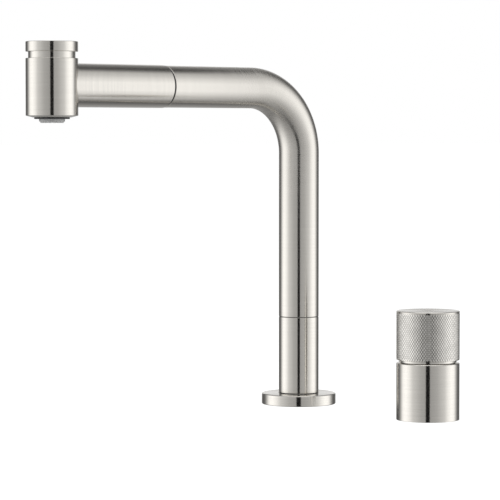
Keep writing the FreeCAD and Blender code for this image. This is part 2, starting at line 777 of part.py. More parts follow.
def make_aerator(doc, s, d):
    """Make the threaded ring, the nozzle plate and the seal under the head."""
    height = s.aerator_proud + d.aerator_top
    housing = turned(doc, "aerator_housing", [
        (d.nozzle_bore, 0), (d.aerator_radius - s.aerator_edge, 0), (d.aerator_radius, s.aerator_edge),
        (d.aerator_radius, height), (d.nozzle_bore, height)])
    place(housing, 0, -s.reach, d.head_bottom - s.aerator_proud)
    seal = ring(doc, "aerator_seal", d.nozzle_bore, d.aerator_radius, s.aerator_seal_thickness)
    place(seal, 0, -s.reach, d.head_bottom + d.aerator_top)

    plate_drop = s.aerator_proud + s.nozzle_proud
    plate_height = plate_drop + d.aerator_top
    face_radius = d.nozzle_radius - s.nozzle_step
    plate = turned(doc, "nozzle_plate", [
        (0, s.nozzle_recess_depth), (s.nozzle_recess_radius, s.nozzle_recess_depth),
        (s.nozzle_recess_radius, 0), (face_radius, 0), (face_radius, s.nozzle_proud),
        (d.nozzle_radius, s.nozzle_proud), (d.nozzle_radius, plate_height), (0, plate_height)])
    hole = drilled(doc, plate, "nozzle_hole", "XY_Plane", (s.nozzle_hole_circle, 0),
                   s.nozzle_hole_radius, s.nozzle_hole_depth, reverse=True)
    spread_round(doc, plate, [hole], s.nozzle_count)
    place(plate, 0, -s.reach, d.head_bottom - plate_drop)
    return [housing, seal, plate]


def make_diverter_body(doc, s, d):
    """Make the moulded core of the head that guides the diverter's stem."""
    guide_foot = d.diverter_height - s.diverter_guide_length
    guide_bore = s.stem_radius + s.run_gap
    core = turned(doc, "diverter_body", [
        (s.diverter_bore, 0), (d.core_radius, 0), (d.core_radius, d.diverter_height),
        (guide_bore, d.diverter_height), (guide_bore, guide_foot), (s.diverter_bore, guide_foot)])
    level = d.head_drop - d.diverter_foot
    drilled(doc, core, "side_port", "XZ_Plane", (0, level), s.port_radius, d.core_radius * 2)
    sketch = new_sketch(core, "port_socket_circle", "XZ_Plane")
    draw_circle(sketch, 0, level, s.waterway_radius + s.fit_gap)
    sketch.setExpression("AttachmentOffset.Base.z", (s.port_socket_depth - d.core_radius).formula)
    socket = core.newObject("PartDesign::Pocket", "port_socket")
    socket.Profile = sketch
    socket.setExpression("Length", d.core_radius.formula)
    before = core.Shape.Volume
    doc.recompute()
    if core.Shape.Volume >= before:
        raise ValueError("the port's socket cuts nothing")
    return place(core, 0, -s.reach, d.head_bottom + d.diverter_foot)


# Diverter

def make_diverter(doc, s, d):
    """Make the push cap, the valve stem with its seal, and the return spring."""
    visible_neck = s.press_travel + s.cap_clearance
    cap_under = s.neck_overlap + visible_neck
    cap_top = cap_under + s.cap_height
    socket = s.stem_radius + s.fit_gap
    socket_roof = s.cap_cavity_depth + s.stem_socket_depth
    cap = turned(doc, "push_cap", [
        (s.cap_cavity_radius, 0), (d.cap_neck_radius, 0), (d.cap_neck_radius, cap_under),
        (d.head_radius - s.cap_edge, cap_under), (d.head_radius, cap_under + s.cap_edge),
        (d.head_radius, cap_top - s.cap_edge), (d.head_radius - s.cap_edge, cap_top),
        (0, cap_top), (0, socket_roof), (socket, socket_roof), (socket, s.cap_cavity_depth),
        (s.cap_cavity_radius, s.cap_cavity_depth)])
    place(cap, 0, -s.reach, d.head_bottom + d.cap_foot)

    head_radius = s.diverter_bore - s.run_gap
    groove_floor = head_radius - s.seal_wire_radius * 2
    groove_foot = (s.stem_head_height - s.seal_groove_width) / 2
    groove_top = groove_foot + s.seal_groove_width
    stem_top = d.cap_foot + socket_roof - d.stem_foot
    stem = turned(doc, "diverter_stem", [
        (0, 0), (head_radius, 0), (head_radius, groove_foot), (groove_floor, groove_foot),
        (groove_floor, groove_top), (head_radius, groove_top), (head_radius, s.stem_head_height),
        (s.stem_radius, s.stem_head_height), (s.stem_radius, stem_top), (0, stem_top)])
    place(stem, 0, -s.reach, d.head_bottom + d.stem_foot)
    seal = doc.addObject("Part::Torus", "stem_seal")
    seal.Label = "stem_seal"
    seal.setExpression("Radius1", (head_radius - s.seal_wire_radius).formula)
    seal.setExpression("Radius2", s.seal_wire_radius.formula)
    place(seal, 0, -s.reach, d.head_bottom + d.stem_foot + s.stem_head_height / 2)
    return [cap, stem, seal, make_spring(doc, s, d)]


def make_spring(doc, s, d):
    """Wind the return spring between the diverter body and the cap."""
    rise = d.cavity_roof - d.diverter_top - s.spring_wire_radius * 2
    line = coil_line(s.spring_radius.value, rise.value, s.spring_turns.value)
    first = line.Edges[0]
    centre = first.valueAt(first.FirstParameter)
    heading = first.tangentAt(first.FirstParameter)
    section = Part.Wire(Part.Circle(centre, heading, s.spring_wire_radius.value).toShape())
    spring = doc.addObject("Part::Feature", "return_spring")
    spring.Label = "return_spring"
    spring.Shape = line.makePipeShell([section], True, False)
    return place(spring, 0, -s.reach, d.head_bottom + d.diverter_top + s.spring_wire_radius)


# Control

def make_control(doc, s, d):
    """Make the sleeve on the deck and the mixing valve inside it."""
    foot_bore = d.valve_radius + s.run_gap
    groove_outer = d.sleeve_radius - s.sleeve_gasket_rim
    groove_inner = groove_outer - s.sleeve_gasket_width
    sleeve = turned(doc, "control_sleeve", [
        (foot_bore, 0), (groove_inner, 0), (groove_inner, s.sleeve_gasket_thickness),
        (groove_outer, s.sleeve_gasket_thickness), (groove_outer, 0), (d.sleeve_radius, 0),
        (d.sleeve_radius, s.sleeve_height - s.sleeve_bevel),
        (d.sleeve_radius - s.sleeve_bevel, s.sleeve_height), (d.sleeve_bore, s.sleeve_height),
        (d.sleeve_bore, s.sleeve_foot_height), (foot_bore, s.sleeve_foot_height)])
    gasket = ring(doc, "control_gasket", groove_inner + s.fit_gap, groove_outer - s.fit_gap,
                  s.sleeve_gasket_thickness)
    place(sleeve, s.control_spacing, 0, 0)
    place(gasket, s.control_spacing, 0, 0)
    return [sleeve, gasket, make_valve_body(doc, s, d)] + make_cartridge(doc, s, d)


def make_valve_body(doc, s, d):
    """Make the brass body with its shank and the three threaded ports in its base."""
    deck = s.valve_shank_length
    flange_foot = deck + s.sleeve_foot_height
    flange_top = flange_foot + s.valve_flange_height
    top = deck + d.valve_top
    ledge = deck + d.cartridge_top - s.cartridge_nut_ledge
    floor = deck + d.valve_floor
    body = turned(doc, "valve_body", [
        (0, 0), (d.valve_radius, 0), (d.valve_radius, flange_foot), (d.valve_flange_radius, flange_foot),
        (d.valve_flange_radius, flange_top), (d.valve_radius, flange_top), (d.valve_radius, top),
        (d.nut_thread_radius, top), (d.nut_thread_radius, ledge), (d.cartridge_bore, ledge),
        (d.cartridge_bore, floor), (0, floor)])
    port = drilled(doc, body, "port_thread", "XY_Plane", (0, d.port_circle), s.port_thread_radius,
                   s.port_thread_depth, reverse=True)
    spread_round(doc, body, [port], PORT_COUNT)
    duct = drilled(doc, body, "port_duct", "XY_Plane", (0, d.duct_circle), s.duct_radius, floor,
                   reverse=True)
    spread_round(doc, body, [duct], PORT_COUNT)
    return place(body, s.control_spacing, 0, -s.valve_shank_length)


def make_cartridge(doc, s, d):
    """Make the still half of the ceramic cartridge and the nut that holds it down."""
    seal = ported_disc(doc, "cartridge_seal", s, d, d.cartridge_radius, s.cartridge_seal_thickness)
    place(seal, s.control_spacing, 0, d.valve_floor)
    disc = ported_disc(doc, "fixed_disc", s, d, d.disc_bore - s.fit_gap, s.fixed_disc_height)
    place(disc, s.control_spacing, 0, d.cartridge_foot)
    roof = d.disc_roof - d.cartridge_foot
    stem_bore = s.valve_stem_radius + s.run_gap
    housing = turned(doc, "cartridge_housing", [
        (d.disc_bore, 0), (d.cartridge_radius, 0), (d.cartridge_radius, s.cartridge_height),
        (stem_bore, s.cartridge_height), (stem_bore, roof), (d.disc_bore, roof)])
    place(housing, s.control_spacing, 0, d.cartridge_foot)

    thread = d.nut_thread_radius - s.fit_gap
    head = thread - s.cartridge_nut_step
    nut_top = s.cartridge_nut_grip + s.cartridge_nut_head
    nut = turned(doc, "cartridge_nut", [
        (s.cartridge_nut_bore, 0), (thread, 0), (thread, s.cartridge_nut_grip),
        (head, s.cartridge_nut_grip), (head, nut_top), (s.cartridge_nut_bore, nut_top)])
    place(nut, s.control_spacing, 0, d.cartridge_top)
    return [seal, disc, housing, nut]


def ported_disc(doc, label, s, d, radius, height):
    """Make a disc with a hole over each of the valve's ducts."""
    disc = turned(doc, label, [(0, 0), (radius, 0), (radius, height), (0, height)])
    hole = drilled(doc, disc, f"{label}_duct", "XY_Plane", (0, d.duct_circle), s.duct_radius, height,
                   reverse=True)
    spread_round(doc, disc, [hole], PORT_COUNT)
    return disc


# Knob

def make_knob(doc, s, d):
    """Make the knob with its adaptor, grub screw and the turning half of the cartridge."""
    neck = d.sleeve_radius - s.knob_neck_step
    foot = s.knob_neck_height
    rim = d.knob_height - s.knob_rim_bevel
    roof = d.knob_roof_height
    knob = turned(doc, "control_knob", [
        (d.knob_bore, 0), (neck, 0), (neck, foot), (d.sleeve_radius - s.knob_foot_edge, foot),
        (d.sleeve_radius, foot + s.knob_foot_edge), (d.sleeve_radius, rim),
        (d.sleeve_radius - s.knob_rim_bevel, d.knob_height), (0, d.knob_height), (0, roof),
        (d.boss_bore, roof), (d.boss_bore, s.boss_rise), (d.boss_radius, s.boss_rise),
        (d.boss_radius, roof), (d.knob_bore, roof)])
    drilled(doc, knob, "grub_hole", "XZ_Plane", (0, s.grub_height), s.grub_radius + s.fit_gap,
            s.sleeve_diameter)
    place(knob, s.control_spacing, 0, d.knob_foot)
    adaptor = ring(doc, "knob_adaptor", d.adaptor_bore, d.adaptor_radius, roof - s.boss_rise)
    place(adaptor, s.control_spacing, 0, d.knob_foot + s.boss_rise)
    grub = headless_screw(doc, s, "grub_screw", s.grub_radius, d.boss_radius - d.boss_bore,
                          point_radius=s.grub_radius - s.fit_gap, point_length=s.fit_gap)
    place_at_back(grub, s.control_spacing, d.boss_bore, d.knob_foot + s.grub_height)

    carrier = d.disc_bore - s.moving_disc_inset
    stem_top = s.valve_stem_height - d.carrier_foot
    stem = turned(doc, "cartridge_stem", [
        (0, 0), (carrier, 0), (carrier, s.carrier_height), (s.valve_stem_radius, s.carrier_height),
        (s.valve_stem_radius, stem_top), (0, stem_top)])
    place(stem, s.control_spacing, 0, d.carrier_foot)
    disc = turned(doc, "moving_disc", [
        (0, 0), (carrier, 0), (carrier, s.moving_disc_height), (0, s.moving_disc_height)])
    drilled(doc, disc, "mixing_pocket", "XY_Plane", (0, s.mixing_pocket_offset), s.mixing_pocket_radius,
            s.mixing_pocket_depth, reverse=True)
    place(disc, s.control_spacing, 0, d.moving_disc_foot)
    return [knob, adaptor, grub, stem, disc]


# Checking and writing

def check(doc, parts):
    """Stop if any feature failed or any sub-part has no sound shape."""
    for item in doc.Objects:
        if "Invalid" in item.State or "Error" in item.State:
            raise ValueError(f"{item.Label} failed: {item.State}")
    for part in parts:
        if part.Shape.isNull() or not part.Shape.isValid():
            raise ValueError(f"{part.Label} has no sound shape")


def main():
    """Build every sub-part and write each to its own file."""
    doc = FreeCAD.newDocument("Tap")
    s = fill_sheet(doc)
    d = work_out(s)
    parts = make_base(doc, s, d)
    parts += make_clamping(doc, s, "spout", as_size(0), d.shank_radius, d.shank_radius + s.fit_gap)
    parts += make_spout(doc, s, d)
    parts += make_spray(doc, s, d)
    parts += make_diverter(doc, s, d)
    parts += make_control(doc, s, d)
    parts += make_clamping(doc, s, "control", s.control_spacing, d.valve_radius,
                           d.valve_radius + s.fit_gap)
    parts += make_knob(doc, s, d)
    doc.recompute()
    check(doc, parts)
    os.makedirs("parts", exist_ok=True)
    for part in parts:
        part.Shape.exportStep(f"parts/{part.Label}.step")
    print(len(parts), "sub-parts written")


main()
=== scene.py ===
"""Looks of a two-hole kitchen tap with a pull-out spray: meshes, finishes, studio and camera.

Every length is in metres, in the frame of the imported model: the origin is on the deck under the
riser, +Z is up, the arm points to -Y and the control stands at +X.
"""

import json
import logging
import math
from dataclasses import dataclass
from enum import Enum
from typing import Callable, NamedTuple, Sequence

import bpy
from bpy.types import Material, Mesh, Modifier, Node, NodeSocket, NodeTree, Object, Scene
from mathutils import Matrix, Vector

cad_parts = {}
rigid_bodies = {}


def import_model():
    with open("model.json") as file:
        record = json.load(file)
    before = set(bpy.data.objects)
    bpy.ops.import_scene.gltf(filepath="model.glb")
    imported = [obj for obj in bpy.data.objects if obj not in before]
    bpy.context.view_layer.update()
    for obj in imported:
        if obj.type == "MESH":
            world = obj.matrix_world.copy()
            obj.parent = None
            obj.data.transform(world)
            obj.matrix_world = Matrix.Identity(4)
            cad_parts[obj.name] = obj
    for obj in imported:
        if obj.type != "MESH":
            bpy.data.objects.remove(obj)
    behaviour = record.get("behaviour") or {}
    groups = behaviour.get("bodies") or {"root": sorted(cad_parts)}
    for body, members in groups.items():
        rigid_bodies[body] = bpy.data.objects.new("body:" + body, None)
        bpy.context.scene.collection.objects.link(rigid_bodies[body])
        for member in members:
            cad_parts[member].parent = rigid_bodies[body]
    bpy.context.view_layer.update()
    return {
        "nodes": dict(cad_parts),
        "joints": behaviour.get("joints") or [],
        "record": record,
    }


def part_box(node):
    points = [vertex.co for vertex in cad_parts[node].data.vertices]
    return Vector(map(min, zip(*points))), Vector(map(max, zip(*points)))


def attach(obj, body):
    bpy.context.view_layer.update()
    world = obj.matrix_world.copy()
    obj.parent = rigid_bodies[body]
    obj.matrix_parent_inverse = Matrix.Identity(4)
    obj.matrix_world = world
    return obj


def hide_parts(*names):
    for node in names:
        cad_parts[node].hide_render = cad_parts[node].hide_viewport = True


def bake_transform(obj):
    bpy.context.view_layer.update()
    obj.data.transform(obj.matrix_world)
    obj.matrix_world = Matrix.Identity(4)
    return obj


MM = 0.001
FULL_TURN = 2.0 * math.pi
QUARTER_TURN = math.pi / 2.0
GRAIN_UV = "grain_uv"          # U runs across the brush marks, so it is the tangent of the gloss
GRAIN_POINT = "grain_point"    # distance along the outline, then the place round the axis
# On the knurl this mask also picks the painted highlight on the crests and the painted shade in the grooves.
EDGE_MASK = "edge_mask"        # 1 on eased edges and crests, 0 on faces and in grooves
TRUE_NORMAL = "true_normal"
UV_SPAN = 100.0 * MM           # length along the outline that one unit of U covers
SMALL_EASE = 0.08 * MM
EDGE_STEPS = 4
ROUND_STEPS = 144
HOLE_STEPS = 40
FIT_GAP = 0.05 * MM
BEND_RADIUS = 45.0 * MM        # of the spout's tube and of the hose in it
NECK_RADIUS = 15.3 * MM        # of the push cap's neck, in the head's well
HOLE_SLOT = 1                  # material slot of a drilled hole's wall
STRAIGHT = 1e-6                # a corner that turns by less than this is none
ON_AXIS = 1e-9                 # a station closer to the axis than this is a point
TRUE_ENOUGH = 0.5              # length and cosine from which a stored normal fits its face
MIDDLE = (0.3, 0.7)            # where most of a noise's values lie
MIX_LOW, MIX_HIGH, MIX_RESULT = 6, 7, 2    # sockets of a Mix node that carry colours
WHITE = (1.0, 1.0, 1.0, 1.0)
UP = Vector((0.0, 0.0, 1.0))
VECTOR, NUMBER, WHOLE = "NodeSocketVector", "NodeSocketFloat", "NodeSocketInt"
GEOMETRY, MATERIAL, OBJECT = "NodeSocketGeometry", "NodeSocketMaterial", "NodeSocketObject"

log = logging.getLogger("tap")
Colour = tuple[float, float, float]
Span = tuple[float, float]


# Shapes turned on an axis or swept along a route

class Corner(NamedTuple):
    """A corner of a turned outline: its radius, its height and how far its edge is eased."""

    radius: float
    height: float
    ease: float = SMALL_EASE


class Station(NamedTuple):
    """A point of an eased outline, with its outward direction and its distance along the outline."""

    radius: float
    height: float
    out: Vector
    along: float
    edge: float


class Outline:
    """An outline listed anticlockwise in (radius, height), closed unless it starts on the axis."""

    def __init__(self, *corners: Corner) -> None:
        """Ease every corner of the outline.

        Args:
            corners: the corners in order; the first and the last may both lie on the axis.
        """
        self.closed = corners[0].radius > 0.0
        self.stations: list[Station] = []
        places = [Vector((corner.radius, corner.height)) for corner in corners]
        last = len(corners) - 1
        for index, here in enumerate(places):
            into = (here - places[index - 1]).normalized()
            out = (places[(index + 1) % len(places)] - here).normalized()
            if not self.closed and index == 0:
                into = out
            if not self.closed and index == last:
                out = into
            self._ease(here, into, out, corners[index].ease)

    def _ease(self, here: Vector, into: Vector, out: Vector, ease: float) -> None:
        """Add the stations of one eased corner.

        Args:
            here: the corner itself.
            into: unit direction in which the outline arrives.
            out: unit direction in which it leaves.
            ease: radius of the eased edge.
        """
        turn = math.atan2(into.x * out.y - into.y * out.x, into.dot(out))
        outward = Vector((into.y, -into.x))
        if abs(turn) < STRAIGHT:
            self._add(here, outward, 0.0)
            return
        side = math.copysign(1.0, turn)
        start = here - into * (ease * math.tan(abs(turn) / 2.0))
        centre = start - outward * (ease * side)
        for step in range(EDGE_STEPS + 1):
            direction = Matrix.Rotation(turn * step / EDGE_STEPS, 2) @ outward
            self._add(centre + direction * (ease * side), direction, 1.0)

    def _add(self, point: Vector, outward: Vector, edge: float) -> None:
        """Add one station behind the last.

        Args:
            point: its radius and height.
            outward: its outward direction.
            edge: 1 on an eased edge, 0 elsewhere.
        """
        along = 0.0
        if self.stations:
            last = self.stations[-1]
            along = last.along + math.hypot(point.x - last.radius, point.y - last.height)
        self.stations.append(Station(point.x, point.y, outward, along, edge))

    def split_at(self, heights: Sequence[float]) -> None:
        """Add stations on the walls at given heights, for a route that bends or a wall whose distances along
        are remeasured.

        Args:
            heights: the heights, in any order.
        """
        split: list[Station] = []
        for start, end in zip(self.stations, self.stations[1:] + self.stations[:1]):
            split.append(start)
            if not self.closed and start is self.stations[-1]:
                break
            low, high = sorted((start.height, end.height))
            inside = [height for height in heights if low < height < high]
            for height in sorted(inside, reverse=end.height < start.height):
                share = (height - start.height) / (end.height - start.height)
                radius = start.radius + share * (end.radius - start.radius)
                along = start.along + abs(height - start.height)
                split.append(Station(radius, height, start.out, along, 0.0))
        self.stations = split

    def measure_along(self, length_at: Callable[[float], float]) -> None:
        """Take the distance along the outline from its height."""
        self.stations = [station._replace(along=length_at(station.height)) for station in self.stations]

    def turn_over(self) -> None:
        """Reverse an outline that was listed clockwise."""
        self.stations = [station._replace(out=-station.out) for station in reversed(self.stations)]


def ring_outline(bore: float, radius: float, foot: float, top: float, ease: float = SMALL_EASE) -> Outline:
    """Return the outline of a plain ring with eased outer edges."""
    outer = (Corner(radius, foot, ease), Corner(radius, top, ease))
    return Outline(Corner(bore, foot), *outer, Corner(bore, top))


def rod_outline(radius: float, foot: float, top: float) -> Outline:
    """Return the outline of a plain solid rod."""
    return Outline(Corner(0.0, foot), Corner(radius, foot), Corner(radius, top), Corner(0.0, top))


class Section(NamedTuple):
    """Where a route is at one distance: its centre and its three directions."""

    centre: Vector
    across: Vector
    side: Vector
    ahead: Vector


class Heading(Enum):
    """Ways that a straight route can point."""

    UP = "up"
    ALONG_ARM = "along the arm"


@dataclass(frozen=True)
class StraightRoute:
    """A straight axis from a foot."""

    foot: Vector
    heading: Heading = Heading.UP

    def at(self, distance: float) -> Section:
        """Find where the route is.

        Args:
            distance: distance from the foot.

        Returns:
            The section there.
        """
        ahead, side = UP, Vector((0.0, 1.0, 0.0))
        if self.heading is Heading.ALONG_ARM:
            ahead, side = Vector((0.0, -1.0, 0.0)), UP
        return Section(self.foot + ahead * distance, Vector((1.0, 0.0, 0.0)), side, ahead)


@dataclass(frozen=True)
class BentRoute:
    """A riser, one round bend towards -Y and an arm."""

    foot: float
    arm_height: float
    bend_radius: float = BEND_RADIUS
    bend_steps: int = 48

    @property
    def riser(self) -> float:
        """Length of the straight riser."""
        return self.arm_height - self.bend_radius - self.foot

    @property
    def arm_start(self) -> float:
        """Distance at which the bend ends and the arm starts."""
        return self.riser + self.bend_radius * QUARTER_TURN

    def bend_stations(self) -> list[float]:
        """Return the distances at which the bend needs a ring."""
        span = self.arm_start - self.riser
        return [self.riser + span * step / self.bend_steps for step in range(self.bend_steps + 1)]

    def at(self, distance: float) -> Section:
        """Find where the route is.

        Args:
            distance: distance from the foot.

        Returns:
            The section there.
        """
        swing = min(max((distance - self.riser) / self.bend_radius, 0.0), QUARTER_TURN)
        sine, cosine = math.sin(swing), math.cos(swing)
        y = -self.bend_radius * (1.0 - cosine) - max(distance - self.arm_start, 0.0)
        z = self.foot + min(distance, self.riser) + self.bend_radius * sine
        return Section(Vector((0.0, y, z)), Vector((1.0, 0.0, 0.0)),
                       Vector((0.0, cosine, sine)), Vector((0.0, -sine, cosine)))


@dataclass(frozen=True)
class CoilRoute:
    """A helix round an upright axis."""

    foot: Vector
    radius: float
    pitch: float

    @property
    def turn_length(self) -> float:
        """Length of one turn along the wire."""
        return math.hypot(FULL_TURN * self.radius, self.pitch)

    def at(self, distance: float) -> Section:
        """Find where the route is.

        Args:
            distance: distance along the wire.

        Returns:
            The section there.
        """
        turns = distance / self.turn_length
        angle = FULL_TURN * turns
        across = Vector((math.cos(angle), math.sin(angle), 0.0))
        ahead = Vector((-across.y, across.x, self.pitch / (FULL_TURN * self.radius))).normalized()
        centre = self.foot + across * self.radius + UP * (self.pitch * turns)
        return Section(centre, across, ahead.cross(across), ahead)


Route = StraightRoute | BentRoute | CoilRoute
Reach = Callable[[float, float, float], float]


def new_piece(name: str, mesh: Mesh) -> Object:
    """Put a mesh in the scene at the origin.

    Args:
        name: the piece's name.
        mesh: its mesh.

    Returns:
        The new object.
    """
    piece = bpy.data.objects.new(name, mesh)
    bpy.context.scene.collection.objects.link(piece)
    return piece


def turned(name: str, outline: Outline, route: Route, steps: int = ROUND_STEPS,
           reach: Reach | None = None) -> Object:
    """Turn an outline round a route into a closed mesh with true normals.

    Args:
        name: the piece's name.
        outline: the eased outline; its heights are distances along the route.
        route: the axis.
        steps: faces round the axis.
        reach: extra distance along the route for (radius, angle, height), for a cut that isn't square.

    Returns:
        The new object, with its grain UV map and attributes.
    """
    points: list[Vector] = []
    normals: list[Vector] = []
    grain: list[float] = []
    edges: list[float] = []
    rings: list[list[int]] = []
    for station in outline.stations:
        ring_steps = steps if station.radius > ON_AXIS else 1
        rings.append(list(range(len(points), len(points) + ring_steps)))
        for step in range(ring_steps):
            angle = FULL_TURN * step / steps
            extra = reach(station.radius, angle, station.height) if reach else 0.0
            section = route.at(station.height + extra)
            spoke = section.across * math.cos(angle) + section.side * math.sin(angle)
            points.append(section.centre + spoke * station.radius)
            normals.append((spoke * station.out.x + section.ahead * station.out.y).normalized())
            grain += [station.along, station.radius * math.cos(angle), station.radius * math.sin(angle)]
            edges.append(station.edge)

    faces: list[list[int]] = []
    uvs: list[float] = []
    pairs = list(zip(range(len(rings)), range(1, len(rings))))
    if outline.closed:
        pairs.append((len(rings) - 1, 0))
    for first, second in pairs:
        start, end = outline.stations[first], outline.stations[second]
        length = math.hypot(end.radius - start.radius, end.height - start.height)
        end_along = end.along if second else start.along + length
        for step in range(steps):
            face, uv = ring_face(rings[first], rings[second], step, steps, (start.along, end_along))
            faces.append(face)
            uvs += uv
    mesh = bpy.data.meshes.new(name)
    mesh.from_pydata(points, [], faces)
    mesh.polygons.foreach_set("use_smooth", [True] * len(faces))
    mesh.uv_layers.new(name=GRAIN_UV).uv.foreach_set("vector", uvs)
    flat_normals = [part for normal in normals for part in normal]
    for attribute, values in ((GRAIN_POINT, grain), (TRUE_NORMAL, flat_normals)):
        mesh.attributes.new(attribute, "FLOAT_VECTOR", "POINT").data.foreach_set("vector", values)
    mesh.attributes.new(EDGE_MASK, "FLOAT", "POINT").data.foreach_set("value", edges)
    mesh.normals_split_custom_set_from_vertices(normals)
    return new_piece(name, mesh)


def ring_face(low: list[int], high: list[int], step: int, steps: int,
              along: Span) -> tuple[list[int], list[float]]:
    """Make one face between two rings, which is a triangle where a ring is a point on the axis.

    Args:
        low: point numbers of the first ring.
        high: point numbers of the second ring.
        step: which face of the ring.
        steps: faces round the axis.
        along: distance along the outline at the first ring and at the second.

    Returns:
        The face's point numbers and its flat list of UV numbers.
    """
    following = (step + 1) % steps
    here, there = step / steps, (step + 1) / steps
    u_low, u_high = along[0] / UV_SPAN, along[1] / UV_SPAN
    if len(low) == 1:
        return [low[0], high[following], high[step]], [u_low, here, u_high, there, u_high, here]
    if len(high) == 1:
        return [low[step], low[following], high[0]], [u_low, here, u_low, there, u_high, here]
    return ([low[step], low[following], high[following], high[step]],
            [u_low, here, u_low, there, u_high, there, u_high, here])


@dataclass(frozen=True)
class NodeBox:
    """Where a CAD node stands at rest."""

    low: Vector
    high: Vector

    @classmethod
    def of(cls, node: str) -> "NodeBox":
        """Read a node's box from the frame."""
        low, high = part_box(node)
        return cls(low, high)

    @property
    def radius(self) -> float:
        """Half the node's width across X."""
        return (self.high.x - self.low.x) / 2.0

    @property
    def height(self) -> float:
        """The node's height."""
        return self.high.z - self.low.z

    @property
    def middle(self) -> Vector:
        """The middle of the node."""
        return (self.low + self.high) / 2.0

    @property
    def foot(self) -> Vector:
        """The middle of the node's underside."""
        return Vector((self.middle.x, self.middle.y, self.low.z))


def drill_back(piece: Object, foot: Vector, height: float, radius: float, depth: float,
               wall: Material) -> None:
    """Drill a round hole into the back of an upright turned piece and keep its true normals.

    Args:
        piece: the piece, with its one material.
        foot: a point on the piece's axis.
        height: height of the hole's middle above the deck.
        radius: the hole's radius.
        depth: distance from the axis to the hole's floor.
        wall: material of the hole's wall.
    """
    outside = 3.0 * depth    # well past the piece's wall
    rod = turned("hole", rod_outline(radius, depth, outside), StraightRoute(Vector()), steps=HOLE_STEPS)
    to_hole = Matrix.Translation((foot.x, foot.y, height))
    rod.data.transform(to_hole @ Matrix.Rotation(-QUARTER_TURN, 4, "X"))
    rod.data.materials.append(wall)
    boolean = piece.modifiers.new("hole", "BOOLEAN")
    boolean.operation = "DIFFERENCE"
    boolean.solver = "EXACT"
    boolean.material_mode = "TRANSFER"
    boolean.object = rod
    keep_result(piece, boolean)
    bpy.data.objects.remove(rod)
    mesh = piece.data
    stored = mesh.attributes[TRUE_NORMAL].data
    corner_normals: list[Vector] = []
    for face in mesh.polygons:
        for index in face.vertices:
            normal = Vector(stored[index].vector)
            if face.material_index == HOLE_SLOT:
                normal = face.normal.copy()
            elif normal.length < TRUE_ENOUGH or normal.dot(face.normal) < TRUE_ENOUGH:
                spoke = mesh.vertices[index].co - foot
                normal = Vector((spoke.x, spoke.y, 0.0)).normalized()
            corner_normals.append(normal)
    mesh.normals_split_custom_set(corner_normals)


def keep_result(piece: Object, modifier: Modifier) -> None:
    """Make a modifier's result the piece's own mesh.

    Args:
        piece: the piece.
        modifier: its only modifier, which is removed.
    """
    mesh = bpy.data.meshes.new_from_object(piece.evaluated_get(bpy.context.evaluated_depsgraph_get()))
    mesh.name = piece.name
    piece.modifiers.remove(modifier)
    piece.data = mesh


# Node sheets and shared effects

@dataclass(frozen=True)
class Wire:
    """An output of a node; sums with it add Math nodes to its sheet."""

    sheet: "NodeSheet"
    socket: NodeSocket

    def __add__(self, other: "Wire | float") -> "Wire":
        """Add a value."""
        return self.sheet.math("ADD", self, other)

    def __sub__(self, other: "Wire | float") -> "Wire":
        """Take a value away."""
        return self.sheet.math("SUBTRACT", self, other)

    def __rsub__(self, other: float) -> "Wire":
        """Take this away from a number."""
        return self.sheet.math("SUBTRACT", other, self)

    def __mul__(self, other: "Wire | float") -> "Wire":
        """Multiply by a value."""
        return self.sheet.math("MULTIPLY", self, other)

    def __truediv__(self, other: "Wire | float") -> "Wire":
        """Divide by a value."""
        return self.sheet.math("DIVIDE", self, other)

    def __mod__(self, other: "Wire | float") -> "Wire":
        """Divide by a value and keep what is left over."""
        return self.sheet.math("MODULO", self, other)


@dataclass(frozen=True)
class Placed:
    """A node on a sheet."""

    sheet: "NodeSheet"
    node: Node

    def __getitem__(self, output: int | str) -> Wire:
        """Return one of the node's outputs, by name or number."""
        return Wire(self.sheet, self.node.outputs[output])


Inputs = dict[int | str, object]


